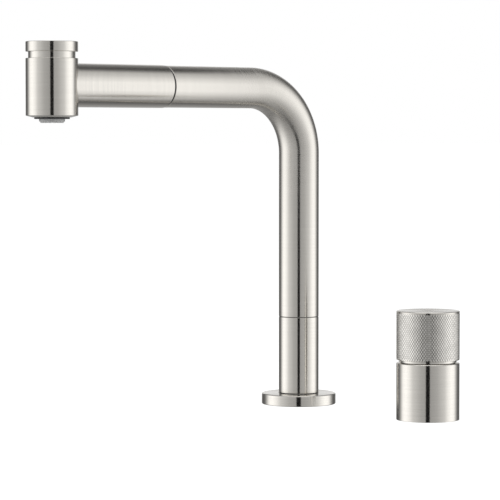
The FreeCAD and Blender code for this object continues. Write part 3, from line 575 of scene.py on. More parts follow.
class NodeSheet:
    """Adds and links nodes in one tree."""

    def __init__(self, tree: NodeTree) -> None:
        """Wrap a node tree."""
        self.tree = tree

    def add(self, kind: str, inputs: Inputs | None = None, **settings: object) -> Placed:
        """Add a node.

        Args:
            kind: the node's type.
            inputs: values or wires for its inputs, by name or number.
            settings: properties of the node itself, which are set first.

        Returns:
            The new node.
        """
        node = self.tree.nodes.new(kind)
        for name, value in settings.items():
            setattr(node, name, value)
        self.feed(node, inputs or {})
        return Placed(self, node)

    def feed(self, node: Node, inputs: Inputs) -> None:
        """Set or link inputs of a node.

        Args:
            node: the node.
            inputs: values or wires, by the input's name or number.
        """
        for key, value in inputs.items():
            if isinstance(value, Wire):
                self.tree.links.new(value.socket, node.inputs[key])
            else:
                node.inputs[key].default_value = value

    def math(self, operation: str, first: Wire | float, second: Wire | float = 0.0) -> Wire:
        """Add a Math node on two values."""
        return self.add("ShaderNodeMath", {0: first, 1: second}, operation=operation)[0]

    def vectors(self, operation: str, first: Wire, second: Wire | Sequence[float],
                output: str = "Vector") -> Wire:
        """Add a Vector Math node on two vectors."""
        return self.add("ShaderNodeVectorMath", {0: first, 1: second}, operation=operation)[output]

    def ramp(self, value: Wire, span: Span, to_low: float = 0.0, to_high: float = 1.0) -> Wire:
        """Map a span of a value smoothly to another."""
        ends = {"Value": value, "From Min": span[0], "From Max": span[1], "To Min": to_low, "To Max": to_high}
        return self.add("ShaderNodeMapRange", ends, interpolation_type="SMOOTHSTEP")["Result"]

    def vector(self, x: Wire | float, y: Wire | float, z: Wire | float) -> Wire:
        """Join three values."""
        return self.add("ShaderNodeCombineXYZ", {0: x, 1: y, 2: z})[0]

    def parts(self, vector: Wire) -> Placed:
        """Split a vector into its three values."""
        return self.add("ShaderNodeSeparateXYZ", {0: vector})

    def noise(self, point: Wire, scale: Wire | float, **settings: float) -> Wire:
        """Add a noise whose other inputs are given by their names in small letters."""
        others = {name.capitalize(): value for name, value in settings.items()}
        return self.add("ShaderNodeTexNoise", {"Vector": point, "Scale": scale, **others})["Fac"]

    def tones(self, factor: Wire, low: Sequence[float], high: Sequence[float]) -> Wire:
        """Mix two colours."""
        inputs = {"Factor": factor, MIX_LOW: low, MIX_HIGH: high}
        return self.add("ShaderNodeMix", inputs, data_type="RGBA")[MIX_RESULT]

    def blend(self, factor: Wire, low: Wire | float, high: Wire | float) -> Wire:
        """Mix two values."""
        return self.add("ShaderNodeMix", {"Factor": factor, "A": low, "B": high})["Result"]

    def bump(self, height: Wire, strength: float, depth: float) -> Wire:
        """Raise a surface by a value."""
        inputs = {"Strength": strength, "Distance": depth, "Height": height}
        return self.add("ShaderNodeBump", inputs)["Normal"]

    def effect(self, group: NodeTree, point: Wire, **values: float) -> Placed:
        """Add a shared effect whose other inputs are given with low lines for spaces."""
        others = {name.capitalize().replace("_", " "): value for name, value in values.items()}
        return self.add("ShaderNodeGroup", {"Point": point, **others}, node_tree=group)

    def place(self) -> Wire:
        """Return the point of the surface, in the object's own frame."""
        return self.add("ShaderNodeTexCoord")["Object"]


def new_group(name: str, inputs: dict[str, str], outputs: dict[str, str],
              kind: str = "ShaderNodeTree") -> tuple[NodeSheet, Placed, Node]:
    """Start a node group with named sockets.

    Args:
        name: the group's name.
        inputs: the type of each input.
        outputs: the type of each output.
        kind: the type of tree.

    Returns:
        The group's sheet, its input node and its output node.
    """
    tree = bpy.data.node_groups.new(name, kind)
    for direction, sockets in (("INPUT", inputs), ("OUTPUT", outputs)):
        for socket_name, socket_type in sockets.items():
            tree.interface.new_socket(socket_name, in_out=direction, socket_type=socket_type)
    sheet = NodeSheet(tree)
    return sheet, sheet.add("NodeGroupInput"), sheet.add("NodeGroupOutput").node


class Effects:
    """Effects that several finishes share, each a node group built once."""

    streak_share = 0.14                # streaks for each fine line
    cloud_share = 0.08                 # clouds for each grain
    patch_edge: Span = (0.42, 0.68)    # where a patch fades in

    def __init__(self) -> None:
        """Build the groups."""
        self.brush_marks = self._brush_marks()
        self.handling = self._handling()
        self.speckle = self._speckle()

    def _brush_marks(self) -> NodeTree:
        """Draw fine lines that run round a piece, with broader streaks among them.

        Returns:
            The group.
        """
        sheet, given, result = new_group(
            "brush_marks", {"Point": VECTOR, "Lines per metre": NUMBER, "Drift per metre": NUMBER},
            {"Lines": NUMBER, "Streaks": NUMBER})
        parts = sheet.parts(given["Point"])
        drift_y = parts[1] * given["Drift per metre"]
        drift_z = parts[2] * given["Drift per metre"]
        for name, share in (("Lines", 1.0), ("Streaks", self.streak_share)):
            across = parts[0] * (given["Lines per metre"] * share)
            noise = sheet.noise(sheet.vector(across, drift_y, drift_z), 1.0, detail=3.0, roughness=0.65)
            sheet.feed(result, {name: noise})
        return sheet.tree

    def _handling(self) -> NodeTree:
        """Draw soft patches where hands and water have been, from 0 to 1.

        Returns:
            The group.
        """
        sheet, given, result = new_group(
            "handling", {"Point": VECTOR, "Patches per metre": NUMBER}, {"Mask": NUMBER})
        noise = sheet.noise(given["Point"], given["Patches per metre"], detail=4.0, roughness=0.55,
                            distortion=0.4)
        sheet.feed(result, {"Mask": sheet.ramp(noise, self.patch_edge)})
        return sheet.tree

    def _speckle(self) -> NodeTree:
        """Draw the fine even grain of a moulded or cast surface.

        Returns:
            The group.
        """
        sheet, given, result = new_group(
            "speckle", {"Point": VECTOR, "Grains per metre": NUMBER}, {"Grain": NUMBER, "Cloud": NUMBER})
        for name, share in (("Grain", 1.0), ("Cloud", self.cloud_share)):
            scale = given["Grains per metre"] * share
            sheet.feed(result, {name: sheet.noise(given["Point"], scale, detail=3.0, roughness=0.6)})
        return sheet.tree


def new_material(name: str) -> tuple[Material, NodeSheet, Node]:
    """Start a material.

    Args:
        name: the material's name.

    Returns:
        The material, its sheet and its Principled BSDF.
    """
    material = bpy.data.materials.new(name)
    material.use_nodes = True
    return material, NodeSheet(material.node_tree), material.node_tree.nodes["Principled BSDF"]


def tint(colour: Colour, factor: float = 1.0) -> tuple[float, float, float, float]:
    """Return a colour times a factor, with full alpha."""
    return (colour[0] * factor, colour[1] * factor, colour[2] * factor, 1.0)


@dataclass(frozen=True)
class BrushedSteel:
    """Stainless steel brushed round each piece, so its gloss spreads across the marks."""

    name: str
    colour: Colour
    roughness: float
    anisotropy: float
    lines_per_metre: float = 7000.0
    drift_per_metre: float = 26.0
    patches_per_metre: float = 34.0
    line_share: float = 0.45        # of the tone; the rest follows the streaks
    contrast: float = 0.04
    smoother: float = 0.02
    rougher: float = 0.03
    handled: float = 0.02           # roughness that hands and water add
    edge_roughness: float = 0.16
    relief: float = 0.05
    relief_depth: float = 0.02 * MM

    def material(self, effects: Effects) -> Material:
        """Build the finish's material.

        Args:
            effects: the shared effects.

        Returns:
            The material.
        """
        material, sheet, shader = new_material(self.name)
        point = sheet.add("ShaderNodeAttribute", attribute_name=GRAIN_POINT)["Vector"]
        edge = sheet.add("ShaderNodeAttribute", attribute_name=EDGE_MASK)["Fac"]
        marks = sheet.effect(effects.brush_marks, point, lines_per_metre=self.lines_per_metre,
                             drift_per_metre=self.drift_per_metre)
        patches = sheet.effect(effects.handling, sheet.place(), patches_per_metre=self.patches_per_metre)
        both = marks["Lines"] * self.line_share + marks["Streaks"] * (1.0 - self.line_share)
        brushed = sheet.ramp(marks["Streaks"], MIDDLE, self.roughness - self.smoother,
                             self.roughness + self.rougher)
        rough = brushed + patches["Mask"] * self.handled
        sheet.feed(shader, {
            "Base Color": sheet.tones(sheet.ramp(both, MIDDLE), tint(self.colour, 1.0 - self.contrast),
                                      tint(self.colour, 1.0 + self.contrast)),
            "Roughness": sheet.blend(edge, rough, self.edge_roughness),
            "Normal": sheet.bump(marks["Lines"], self.relief, self.relief_depth),
            "Tangent": sheet.add("ShaderNodeTangent", direction_type="UV_MAP", uv_map=GRAIN_UV)["Tangent"],
            "Metallic": 1.0, "Anisotropic": self.anisotropy})
        return material


@dataclass(frozen=True)
class CutMetal:
    """Plain metal as it leaves the cutter, with no brushing."""

    name: str
    colour: Colour
    roughness: float
    grains_per_metre: float = 2600.0
    patches_per_metre: float = 60.0
    darkest: float = 0.9
    lightest: float = 1.08
    unevenness: float = 0.04
    handled: float = 0.06
    relief: float = 0.1
    relief_depth: float = 0.03 * MM

    def material(self, effects: Effects) -> Material:
        """Build the finish's material.

        Args:
            effects: the shared effects.

        Returns:
            The material.
        """
        material, sheet, shader = new_material(self.name)
        point = sheet.place()
        grain = sheet.effect(effects.speckle, point, grains_per_metre=self.grains_per_metre)
        patches = sheet.effect(effects.handling, point, patches_per_metre=self.patches_per_metre)
        cut = sheet.ramp(grain["Grain"], MIDDLE, self.roughness - self.unevenness,
                         self.roughness + self.unevenness)
        sheet.feed(shader, {
            "Base Color": sheet.tones(grain["Cloud"], tint(self.colour, self.darkest),
                                      tint(self.colour, self.lightest)),
            "Roughness": cut + patches["Mask"] * self.handled,
            "Normal": sheet.bump(grain["Grain"], self.relief, self.relief_depth),
            "Metallic": 1.0})
        return material


@dataclass(frozen=True)
class KnurledSteel:
    """Knurled steel, with a painted highlight on the crests and painted shade in the grooves."""

    name: str
    crest_highlight: Colour
    groove_shade: Colour
    roughness: float
    grains_per_metre: float = 2600.0
    lit_jitter: float = 0.12
    highlight_rise: Span = (0.1, 0.95)
    groove_rougher: float = 0.15

    def material(self, effects: Effects) -> Material:
        """Build the finish's material.

        Args:
            effects: the shared effects.

        Returns:
            The material.
        """
        material, sheet, shader = new_material(self.name)
        grain = sheet.effect(effects.speckle, sheet.place(), grains_per_metre=self.grains_per_metre)
        rise = sheet.add("ShaderNodeAttribute", attribute_name=EDGE_MASK)["Fac"]
        # Painted light: each diamond's height, jittered by noise, chooses between the painted crest highlight
        # and the painted groove shade.
        lit_share = rise + sheet.ramp(grain["Cloud"], MIDDLE, -self.lit_jitter, self.lit_jitter)
        sheet.feed(shader, {
            "Base Color": sheet.tones(sheet.ramp(lit_share, self.highlight_rise), tint(self.groove_shade), tint(self.crest_highlight)),
            "Roughness": sheet.ramp(rise, (0.0, 1.0), self.roughness + self.groove_rougher, self.roughness),
            "Metallic": 1.0})
        return material


@dataclass(frozen=True)
class Moulded:
    """Rubber, plastic or ceramic with a fine even grain."""

    name: str
    colour: Colour
    roughness: float
    grain_depth: float
    grains_per_metre: float = 3000.0
    darkest: float = 0.82
    lightest: float = 1.15
    unevenness: float = 0.06
    relief: float = 0.35

    def material(self, effects: Effects) -> Material:
        """Build the finish's material.

        Args:
            effects: the shared effects.

        Returns:
            The material.
        """
        material, sheet, shader = new_material(self.name)
        grain = sheet.effect(effects.speckle, sheet.place(), grains_per_metre=self.grains_per_metre)
        sheet.feed(shader, {
            "Base Color": sheet.tones(grain["Cloud"], tint(self.colour, self.darkest),
                                      tint(self.colour, self.lightest)),
            "Roughness": sheet.ramp(grain["Cloud"], MIDDLE, self.roughness - self.unevenness,
                                    self.roughness + self.unevenness),
            "Normal": sheet.bump(grain["Grain"], self.relief, self.grain_depth)})
        return material


@dataclass(frozen=True)
class Braid:
    """Nylon strands plaited over a hose, on the hose's own UV map."""

    name: str
    dark: Colour
    light: Colour
    strands: int = 16
    pitch: float = 14.0 * MM
    tone_span: Span = (-0.4, 0.95)
    gloss_span: Span = (-0.5, 1.0)
    gap_roughness: float = 0.7
    strand_roughness: float = 0.42
    relief: float = 0.6
    relief_depth: float = 0.25 * MM

    def material(self) -> Material:
        """Build the finish's material.

        Returns:
            The material.
        """
        material, sheet, shader = new_material(self.name)
        parts = sheet.parts(sheet.add("ShaderNodeUVMap", uv_map=GRAIN_UV)["UV"])
        along = parts[0] * (FULL_TURN * self.strands * UV_SPAN / (2.0 * self.pitch))
        around = parts[1] * (FULL_TURN * self.strands / 2.0)
        weave = sheet.math("MAXIMUM", sheet.math("SINE", around + along), sheet.math("SINE", around - along))
        sheet.feed(shader, {
            "Base Color": sheet.tones(sheet.ramp(weave, self.tone_span), tint(self.dark), tint(self.light)),
            "Roughness": sheet.ramp(weave, self.gloss_span, self.gap_roughness, self.strand_roughness),
            "Normal": sheet.bump(weave, self.relief, self.relief_depth)})
        return material


class Finishes:
    """Every finish of the tap, ready to put on its pieces."""

    def __init__(self) -> None:
        """Build the shared effects and one material for each finish."""
        effects = Effects()
        finishes = (
            BrushedSteel("brushed_steel", (0.80, 0.772, 0.722), roughness=0.27, anisotropy=0.9),
            CutMetal("plain_steel", (0.56, 0.56, 0.56), roughness=0.32),
            CutMetal("brass", (0.72, 0.53, 0.26), roughness=0.3),
            Moulded("rubber", (0.03, 0.03, 0.032), roughness=0.62, grain_depth=0.05 * MM),
            Moulded("dark_plastic", (0.035, 0.035, 0.038), roughness=0.45, grain_depth=0.03 * MM),
            Moulded("pale_plastic", (0.88, 0.88, 0.87), roughness=0.4, grain_depth=0.02 * MM),
            Moulded("ceramic", (0.86, 0.85, 0.82), roughness=0.18, grain_depth=0.005 * MM))
        self.by_slot = {finish.name: finish.material(effects) for finish in finishes}
        braid = Braid("hose_braid", dark=(0.05, 0.05, 0.055), light=(0.3, 0.3, 0.31))
        self.by_slot[braid.name] = braid.material()
        # The crest colour is a painted highlight and the groove colour is painted shade.
        knurled = KnurledSteel("knurled_steel", crest_highlight=(0.98, 0.955, 0.91), groove_shade=(0.56, 0.546, 0.515),
                               roughness=0.12)
        self.knurled = knurled.material(effects)

    def dress(self, piece: Object, body: str, slot: str, *nodes: str) -> None:
        """Give a finished piece its place in the frame, and its slot's material if it has none yet.

        Args:
            piece: the piece.
            body: the CAD body that it moves with.
            slot: the record's material slot.
            nodes: the CAD nodes that it stands for.
        """
        if not piece.data.materials:
            piece.data.materials.append(self.by_slot[slot])
        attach(piece, body)
        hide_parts(*nodes)
        log.info("%s rides on %s", piece.name, body)


# The tap's own sub-assemblies

@dataclass
class BaseStand:
    """The flange on the deck and the fixed column that stands in it."""

    finishes: Finishes
    flange_ease: float = 0.9 * MM
    foot_ease: float = 0.6 * MM
    seam_bevel: float = 0.5 * MM
    column_wall: float = 2.0 * MM
    column_ease: float = 0.22 * MM
    groove_height: float = 0.55 * MM
    groove_depth: float = 0.6 * MM
    seal_inset: float = 0.15 * MM

    def build(self) -> None:
        """Make and dress the pieces, with a seal in the groove at the column's foot."""
        flange, gasket, column = (NodeBox.of(name) for name in ("base_flange", "base_gasket", "base_column"))
        recess = gasket.radius + FIT_GAP
        socket = column.radius + FIT_GAP
        bore = column.radius - self.column_wall
        top, radius = flange.height, flange.radius
        outline = Outline(
            Corner(recess, 0.0), Corner(radius, 0.0, self.foot_ease), Corner(radius, top, self.flange_ease),
            Corner(socket + self.seam_bevel, top), Corner(socket, top - self.seam_bevel),
            Corner(socket, column.low.z), Corner(bore, column.low.z), Corner(bore, gasket.height),
            Corner(recess, gasket.height))
        plate = turned("deck_flange", outline, StraightRoute(flange.foot))
        self.finishes.dress(plate, "base", "brushed_steel", "base_flange")
        neck = column.radius - self.groove_depth
        groove_low = flange.high.z - column.low.z
        groove_high = groove_low + self.groove_height
        outline = Outline(
            Corner(bore, 0.0), Corner(column.radius, 0.0), Corner(column.radius, groove_low),
            Corner(neck, groove_low), Corner(neck, groove_high), Corner(column.radius, groove_high),
            Corner(column.radius, column.height, self.column_ease), Corner(bore, column.height))
        tube = turned("lower_riser", outline, StraightRoute(column.foot))
        self.finishes.dress(tube, "base", "brushed_steel", "base_column")
        outline = ring_outline(neck, column.radius - self.seal_inset, groove_low + FIT_GAP,
                               groove_high - FIT_GAP)
        seal = turned("foot_seal", outline, StraightRoute(column.foot))
        self.finishes.dress(seal, "base", "rubber")


@dataclass
class Spout:
    """The bent tube that swings on the base."""

    finishes: Finishes
    wall: float = 1.5 * MM
    foot_ease: float = 0.22 * MM
    mouth_ease: float = 0.3 * MM

    def build(self) -> None:
        """Make and dress the tube, with the hole for its stop screw."""
        box, screw = NodeBox.of("spout_tube"), NodeBox.of("stop_screw")
        radius = box.radius
        bore = radius - self.wall
        route = BentRoute(box.low.z, box.high.z - radius)
        length = route.arm_start - box.low.y - route.bend_radius
        outline = Outline(
            Corner(bore, 0.0), Corner(radius, 0.0, self.foot_ease), Corner(radius, length, self.mouth_ease),
            Corner(bore, length))
        outline.split_at(route.bend_stations())
        tube = turned("spout", outline, route)
        tube.data.materials.append(self.finishes.by_slot["brushed_steel"])
        drill_back(tube, Vector(), screw.middle.z, screw.radius + FIT_GAP, bore - self.wall,
                   self.finishes.by_slot["plain_steel"])
        self.finishes.dress(tube, "spout", "brushed_steel", "spout_tube")


@dataclass
class Spray:
    """The handle, the upright head and the outlet under it, which pull out together."""

    finishes: Finishes
    handle_wall: float = 2.0 * MM
    handle_ease: float = 0.25 * MM
    dock_reveal: float = 0.3 * MM
    head_cone: float = 1.2 * MM
    head_lip: float = 0.8 * MM
    head_ease: float = 0.3 * MM
    head_floor: float = 4.0 * MM
    well_depth: float = 8.6 * MM
    ring_ease: float = 0.3 * MM
    face_radius: float = 8.4 * MM
    face_drop: float = 1.6 * MM
    face_ease: float = 0.3 * MM
    recess_radius: float = 4.6 * MM
    recess_depth: float = 2.0 * MM
    recess_ease: float = 0.2 * MM
    nozzle_circle: float = 6.6 * MM
    nozzle_count: int = 14

    def build(self) -> None:
        """Make and dress the pieces."""
        self._handle()
        self._head()
        self._outlet()

    def _handle(self) -> None:
        """Make the handle, saddled on the head."""
        handle, head = NodeBox.of("spray_handle"), NodeBox.of("spray_head")
        saddle = head.radius + FIT_GAP
        start = handle.high.y - self.dock_reveal
        length = start - (head.foot.y + saddle)
        bore = handle.radius - self.handle_wall

        def to_head(radius: float, angle: float, height: float) -> float:
            """Reach on to the head's round wall at the far end."""
            sagitta = saddle - math.sqrt(saddle ** 2 - (radius * math.cos(angle)) ** 2)
            return sagitta if height > length / 2.0 else 0.0

        outline = Outline(
            Corner(bore, 0.0), Corner(handle.radius, 0.0, self.handle_ease), Corner(handle.radius, length),
            Corner(bore, length))
        axis = Vector((0.0, start, handle.middle.z))
        tube = turned("handle", outline, StraightRoute(axis, Heading.ALONG_ARM), reach=to_head)
        self.finishes.dress(tube, "spray", "brushed_steel", "spray_handle")

    def _head(self) -> None:
        """Make the upright shell."""
        head = NodeBox.of("spray_head")
        bore = NodeBox.of("aerator_housing").radius + FIT_GAP
        core_bore = NodeBox.of("diverter_body").radius + FIT_GAP
        neck_bore = NECK_RADIUS + FIT_GAP
        top, radius = head.height, head.radius
        well = top - self.well_depth
        outline = Outline(
            Corner(bore, 0.0), Corner(bore + self.head_lip, 0.0, self.head_ease),
            Corner(radius, self.head_cone, self.head_ease), Corner(radius, top, self.head_ease),
            Corner(neck_bore, top), Corner(neck_bore, well), Corner(core_bore, well),
            Corner(core_bore, self.head_floor), Corner(bore, self.head_floor))
        shell = turned("head", outline, StraightRoute(head.foot))
        self.finishes.dress(shell, "spray", "brushed_steel", "spray_head")

    def _outlet(self) -> None:
        """Make the aerator's ring and the nozzle plate with its nozzles."""
        housing, plate = NodeBox.of("aerator_housing"), NodeBox.of("nozzle_plate")
        outline = ring_outline(plate.radius + FIT_GAP, housing.radius, 0.0, housing.height, self.ring_ease)
        ring = turned("aerator_ring", outline, StraightRoute(housing.foot))
        self.finishes.dress(ring, "spray", "dark_plastic", "aerator_housing")
        outline = Outline(
            Corner(0.0, self.recess_depth), Corner(self.recess_radius, self.recess_depth),
            Corner(self.recess_radius, 0.0, self.recess_ease), Corner(self.face_radius, 0.0, self.face_ease),
            Corner(self.face_radius, self.face_drop), Corner(plate.radius, self.face_drop),
            Corner(plate.radius, plate.height), Corner(0.0, plate.height))
        face = turned("nozzle_face", outline, StraightRoute(plate.foot))
        self.finishes.dress(face, "spray", "pale_plastic", "nozzle_plate")
        nozzles = NozzleRing(plate.foot, self.nozzle_circle, self.nozzle_count)
        self.finishes.dress(nozzles.piece(self.finishes.by_slot["pale_plastic"]), "spray", "pale_plastic")


@dataclass
class PushCap:
    """The cap on the head that is pressed to change the spray."""

    finishes: Finishes
    neck_height: float = 7.9 * MM
    cavity_radius: float = 8.0 * MM
    cavity_depth: float = 7.0 * MM
    edge: float = 0.4 * MM

    def build(self) -> None:
        """Make and dress the cap."""
        box = NodeBox.of("push_cap")
        outline = Outline(
            Corner(0.0, self.cavity_depth), Corner(self.cavity_radius, self.cavity_depth),
            Corner(self.cavity_radius, 0.0), Corner(NECK_RADIUS, 0.0), Corner(NECK_RADIUS, self.neck_height),
            Corner(box.radius, self.neck_height, self.edge), Corner(box.radius, box.height, self.edge),
            Corner(0.0, box.height))
        cap = turned("cap", outline, StraightRoute(box.foot))
        self.finishes.dress(cap, "cap", "brushed_steel", "push_cap")


@dataclass
class Control:
    """The sleeve on the deck and the knurled knob above it."""

    finishes: Finishes
    sleeve_wall: float = 2.8 * MM
    sleeve_foot: float = 4.0 * MM
    sleeve_bevel: float = 0.5 * MM
    shank_radius: float = 16.0 * MM
    knob_wall: float = 3.5 * MM
    knob_roof: float = 8.0 * MM
    neck_step: float = 2.0 * MM
    neck_height: float = 1.5 * MM
    rim_bevel: float = 0.4 * MM
    rim_height: float = 1.0 * MM
    lower_rim: float = 0.1 * MM
    edge: float = 0.25 * MM
    knurl_depth: float = 0.16 * MM
    knurl_around: int = 72
    knurl_pitch: float = 2.6 * MM
    grub_radius: float = 2.05 * MM
    grub_clearance: float = 1.0 * MM

    def build(self) -> None:
        """Make and dress the pieces."""
        self._sleeve()
        self._knob()

    def _sleeve(self) -> None:
        """Make the plain sleeve."""
        box = NodeBox.of("control_sleeve")
        bore, radius, top = box.radius - self.sleeve_wall, box.radius, box.height
        outline = Outline(
            Corner(self.shank_radius, 0.0), Corner(radius, 0.0, self.edge),
            Corner(radius, top - self.sleeve_bevel, self.edge / 2.0),
            Corner(radius - self.sleeve_bevel, top, self.edge / 2.0), Corner(bore, top),
            Corner(bore, self.sleeve_foot), Corner(self.shank_radius, self.sleeve_foot))
        sleeve = turned("sleeve", outline, StraightRoute(box.foot))
        self.finishes.dress(sleeve, "base", "brushed_steel", "control_sleeve")

    def _knob(self) -> None:
        """Make the knob's core, cut its grub hole and wrap it in the knurl."""
        box, adaptor, grub = (NodeBox.of(name) for name in ("control_knob", "knob_adaptor", "grub_screw"))
        radius, top = box.radius, box.height
        valley = radius - self.knurl_depth
        roof, bore = top - self.knob_roof, radius - self.knob_wall
        boss_bore = adaptor.radius + FIT_GAP
        boss_radius, boss_rise = grub.high.y, adaptor.low.z - box.low.z
        rim, foot = top - self.rim_height, self.neck_height
        neck = radius - self.neck_step
        outline = Outline(
            Corner(0.0, roof), Corner(boss_bore, roof), Corner(boss_bore, boss_rise),
            Corner(boss_radius, boss_rise), Corner(boss_radius, roof), Corner(bore, roof), Corner(bore, 0.0),
            Corner(neck, 0.0), Corner(neck, foot), Corner(valley, foot, self.edge), Corner(valley, rim),
            Corner(radius, rim, self.edge / 2.0), Corner(radius, top - self.rim_bevel, self.edge),
            Corner(radius - self.rim_bevel, top, self.edge), Corner(0.0, top))
        core = turned("knob", outline, StraightRoute(box.foot))
        core.data.materials.append(self.finishes.by_slot["brushed_steel"])
        drill_back(core, box.foot, grub.middle.z, self.grub_radius, boss_bore,
                   self.finishes.by_slot["plain_steel"])
        self.finishes.dress(core, "knob", "brushed_steel", "control_knob")
        low, high = box.low.z + foot + self.lower_rim, box.low.z + rim
        hole = Vector((box.foot.x, box.foot.y + valley, grub.middle.z))
        knurl = Knurl(box.foot, valley, self.knurl_depth, low, high, self.knurl_around, self.knurl_pitch,
                      hole, self.grub_radius + self.grub_clearance)
        self.finishes.dress(knurl.piece(self.finishes.knurled), "knob", "brushed_steel")


# Repeats, made by geometry nodes

def grown(name: str, tree: NodeTree, values: dict[str, object]) -> Object:
    """Run a geometry-nodes tree and keep its result as a plain mesh.

    Args:
        name: the piece's name.
        tree: the tree.
        values: the value of each named input.

    Returns:
        The piece, with no modifier left on it.
    """
    piece = new_piece(name, bpy.data.meshes.new(name))
    modifier = piece.modifiers.new("grow", "NODES")
    modifier.node_group = tree
    for item in tree.interface.items_tree:
        if item.item_type == "SOCKET" and item.in_out == "INPUT" and item.name in values:
            modifier[item.identifier] = values[item.name]
    keep_result(piece, modifier)
    return piece


@dataclass(frozen=True)
class Knurl:
    """Rows of small rounded diamonds round an upright grip, left out round one hole."""

    foot: Vector
    radius: float
    depth: float
    low: float
    high: float
    around: int
    pitch: float
    hole: Vector
    bare_radius: float
    skirt: float = 0.2    # how far a diamond's foot spreads and sinks, in half widths

    def piece(self, material: Material) -> Object:
        """Grow the diamonds.

        Args:
            material: the diamonds' finish.

        Returns:
            The finished piece.
        """
        span = self.high - self.low
        rows = round((span - self.pitch) / (self.pitch / 2.0)) + 1
        pitch = 2.0 * span / (rows + 1)
        return grown("knob_knurl", self._tree(), {
            "Axis": self.foot, "Radius": self.radius, "Depth": self.depth, "Start": self.low + pitch / 2.0,
            "Around": self.around, "Rows": rows, "Pitch": pitch, "Skirt": self.skirt, "Hole": self.hole,
            "Bare radius": self.bare_radius, "Material": material})

    def _tree(self) -> NodeTree:
        """Build the tree: points in staggered rows round the axis, a diamond on each.

        Returns:
            The tree.
        """
        sheet, given, result = new_group(
            "diamond_knurl",
            {"Geometry": GEOMETRY, "Axis": VECTOR, "Radius": NUMBER, "Depth": NUMBER, "Start": NUMBER,
             "Around": WHOLE, "Rows": WHOLE, "Pitch": NUMBER, "Skirt": NUMBER, "Hole": VECTOR,
             "Bare radius": NUMBER, "Material": MATERIAL},
            {"Geometry": GEOMETRY}, kind="GeometryNodeTree")
        around, radius, half_pitch = given["Around"], given["Radius"], given["Pitch"] / 2.0
        index = sheet.add("GeometryNodeInputIndex")[0]
        row = sheet.math("FLOOR", index / around)
        stagger = row % 2.0 * 0.5    # every second row stands half a diamond further on
        angle = (index % around + stagger) / around * FULL_TURN
        on_ring = sheet.vector(sheet.math("COSINE", angle) * radius, sheet.math("SINE", angle) * radius,
                               given["Start"] + row * half_pitch)
        level = sheet.vectors("MULTIPLY", given["Axis"], (1.0, 1.0, 0.0))
        place = sheet.vectors("ADD", on_ring, level)
        points = sheet.add("GeometryNodePoints", {"Count": around * given["Rows"], "Position": place})
        turn = sheet.vector(QUARTER_TURN, 0.0, angle + QUARTER_TURN)
        size = sheet.vector(radius * math.pi / around, half_pitch, given["Depth"])
        from_hole = sheet.vectors("DISTANCE", place, given["Hole"], "Value")
        copies = sheet.add("GeometryNodeInstanceOnPoints", {
            "Points": points[0], "Selection": sheet.math("GREATER_THAN", from_hole, given["Bare radius"]),
            "Instance": self._diamond(sheet, given["Skirt"]), "Rotation": turn, "Scale": size})
        solid = sheet.add("GeometryNodeRealizeInstances", {0: copies[0]})
        smooth = sheet.add("GeometryNodeSetShadeSmooth", {"Geometry": solid[0], "Shade Smooth": True})
        painted = sheet.add("GeometryNodeSetMaterial", {"Geometry": smooth[0], "Material": given["Material"]})
        sheet.feed(result, {"Geometry": painted[0]})
        return sheet.tree

    @staticmethod
    def _diamond(sheet: NodeSheet, skirt: Wire) -> Wire:
        """Shape a block into one diamond, domed above and spread below by a skirt.

        Args:
            sheet: where the nodes go.
            skirt: how far the foot spreads and sinks.

        Returns:
            The diamond, with its height as its edge mask.
        """
        block = sheet.add("GeometryNodeMeshCube", {"Size": (2.0, 2.0, 2.0), "Vertices X": 5, "Vertices Y": 5,
                                                   "Vertices Z": 2})
        corner = sheet.parts(sheet.add("GeometryNodeInputPosition")[0])
        sunk = sheet.math("LESS_THAN", corner[2], 0.0)
        spread = sunk * skirt + 1.0
        u, v = corner[0] * spread, corner[1] * spread
        crown = (1.0 - u * u) * (1.0 - v * v) * (1.0 - sunk)
        spot = sheet.vector((u - v) * 0.5, (u + v) * 0.5, crown - sunk * (skirt * 2.0))
        shaped = sheet.add("GeometryNodeSetPosition", {"Geometry": block[0], "Position": spot})
        rise = sheet.parts(sheet.add("GeometryNodeInputPosition")[0])[2]
        marked = {"Geometry": shaped[0], "Name": EDGE_MASK, "Value": rise}
        return sheet.add("GeometryNodeStoreNamedAttribute", marked, data_type="FLOAT", domain="POINT")[0]


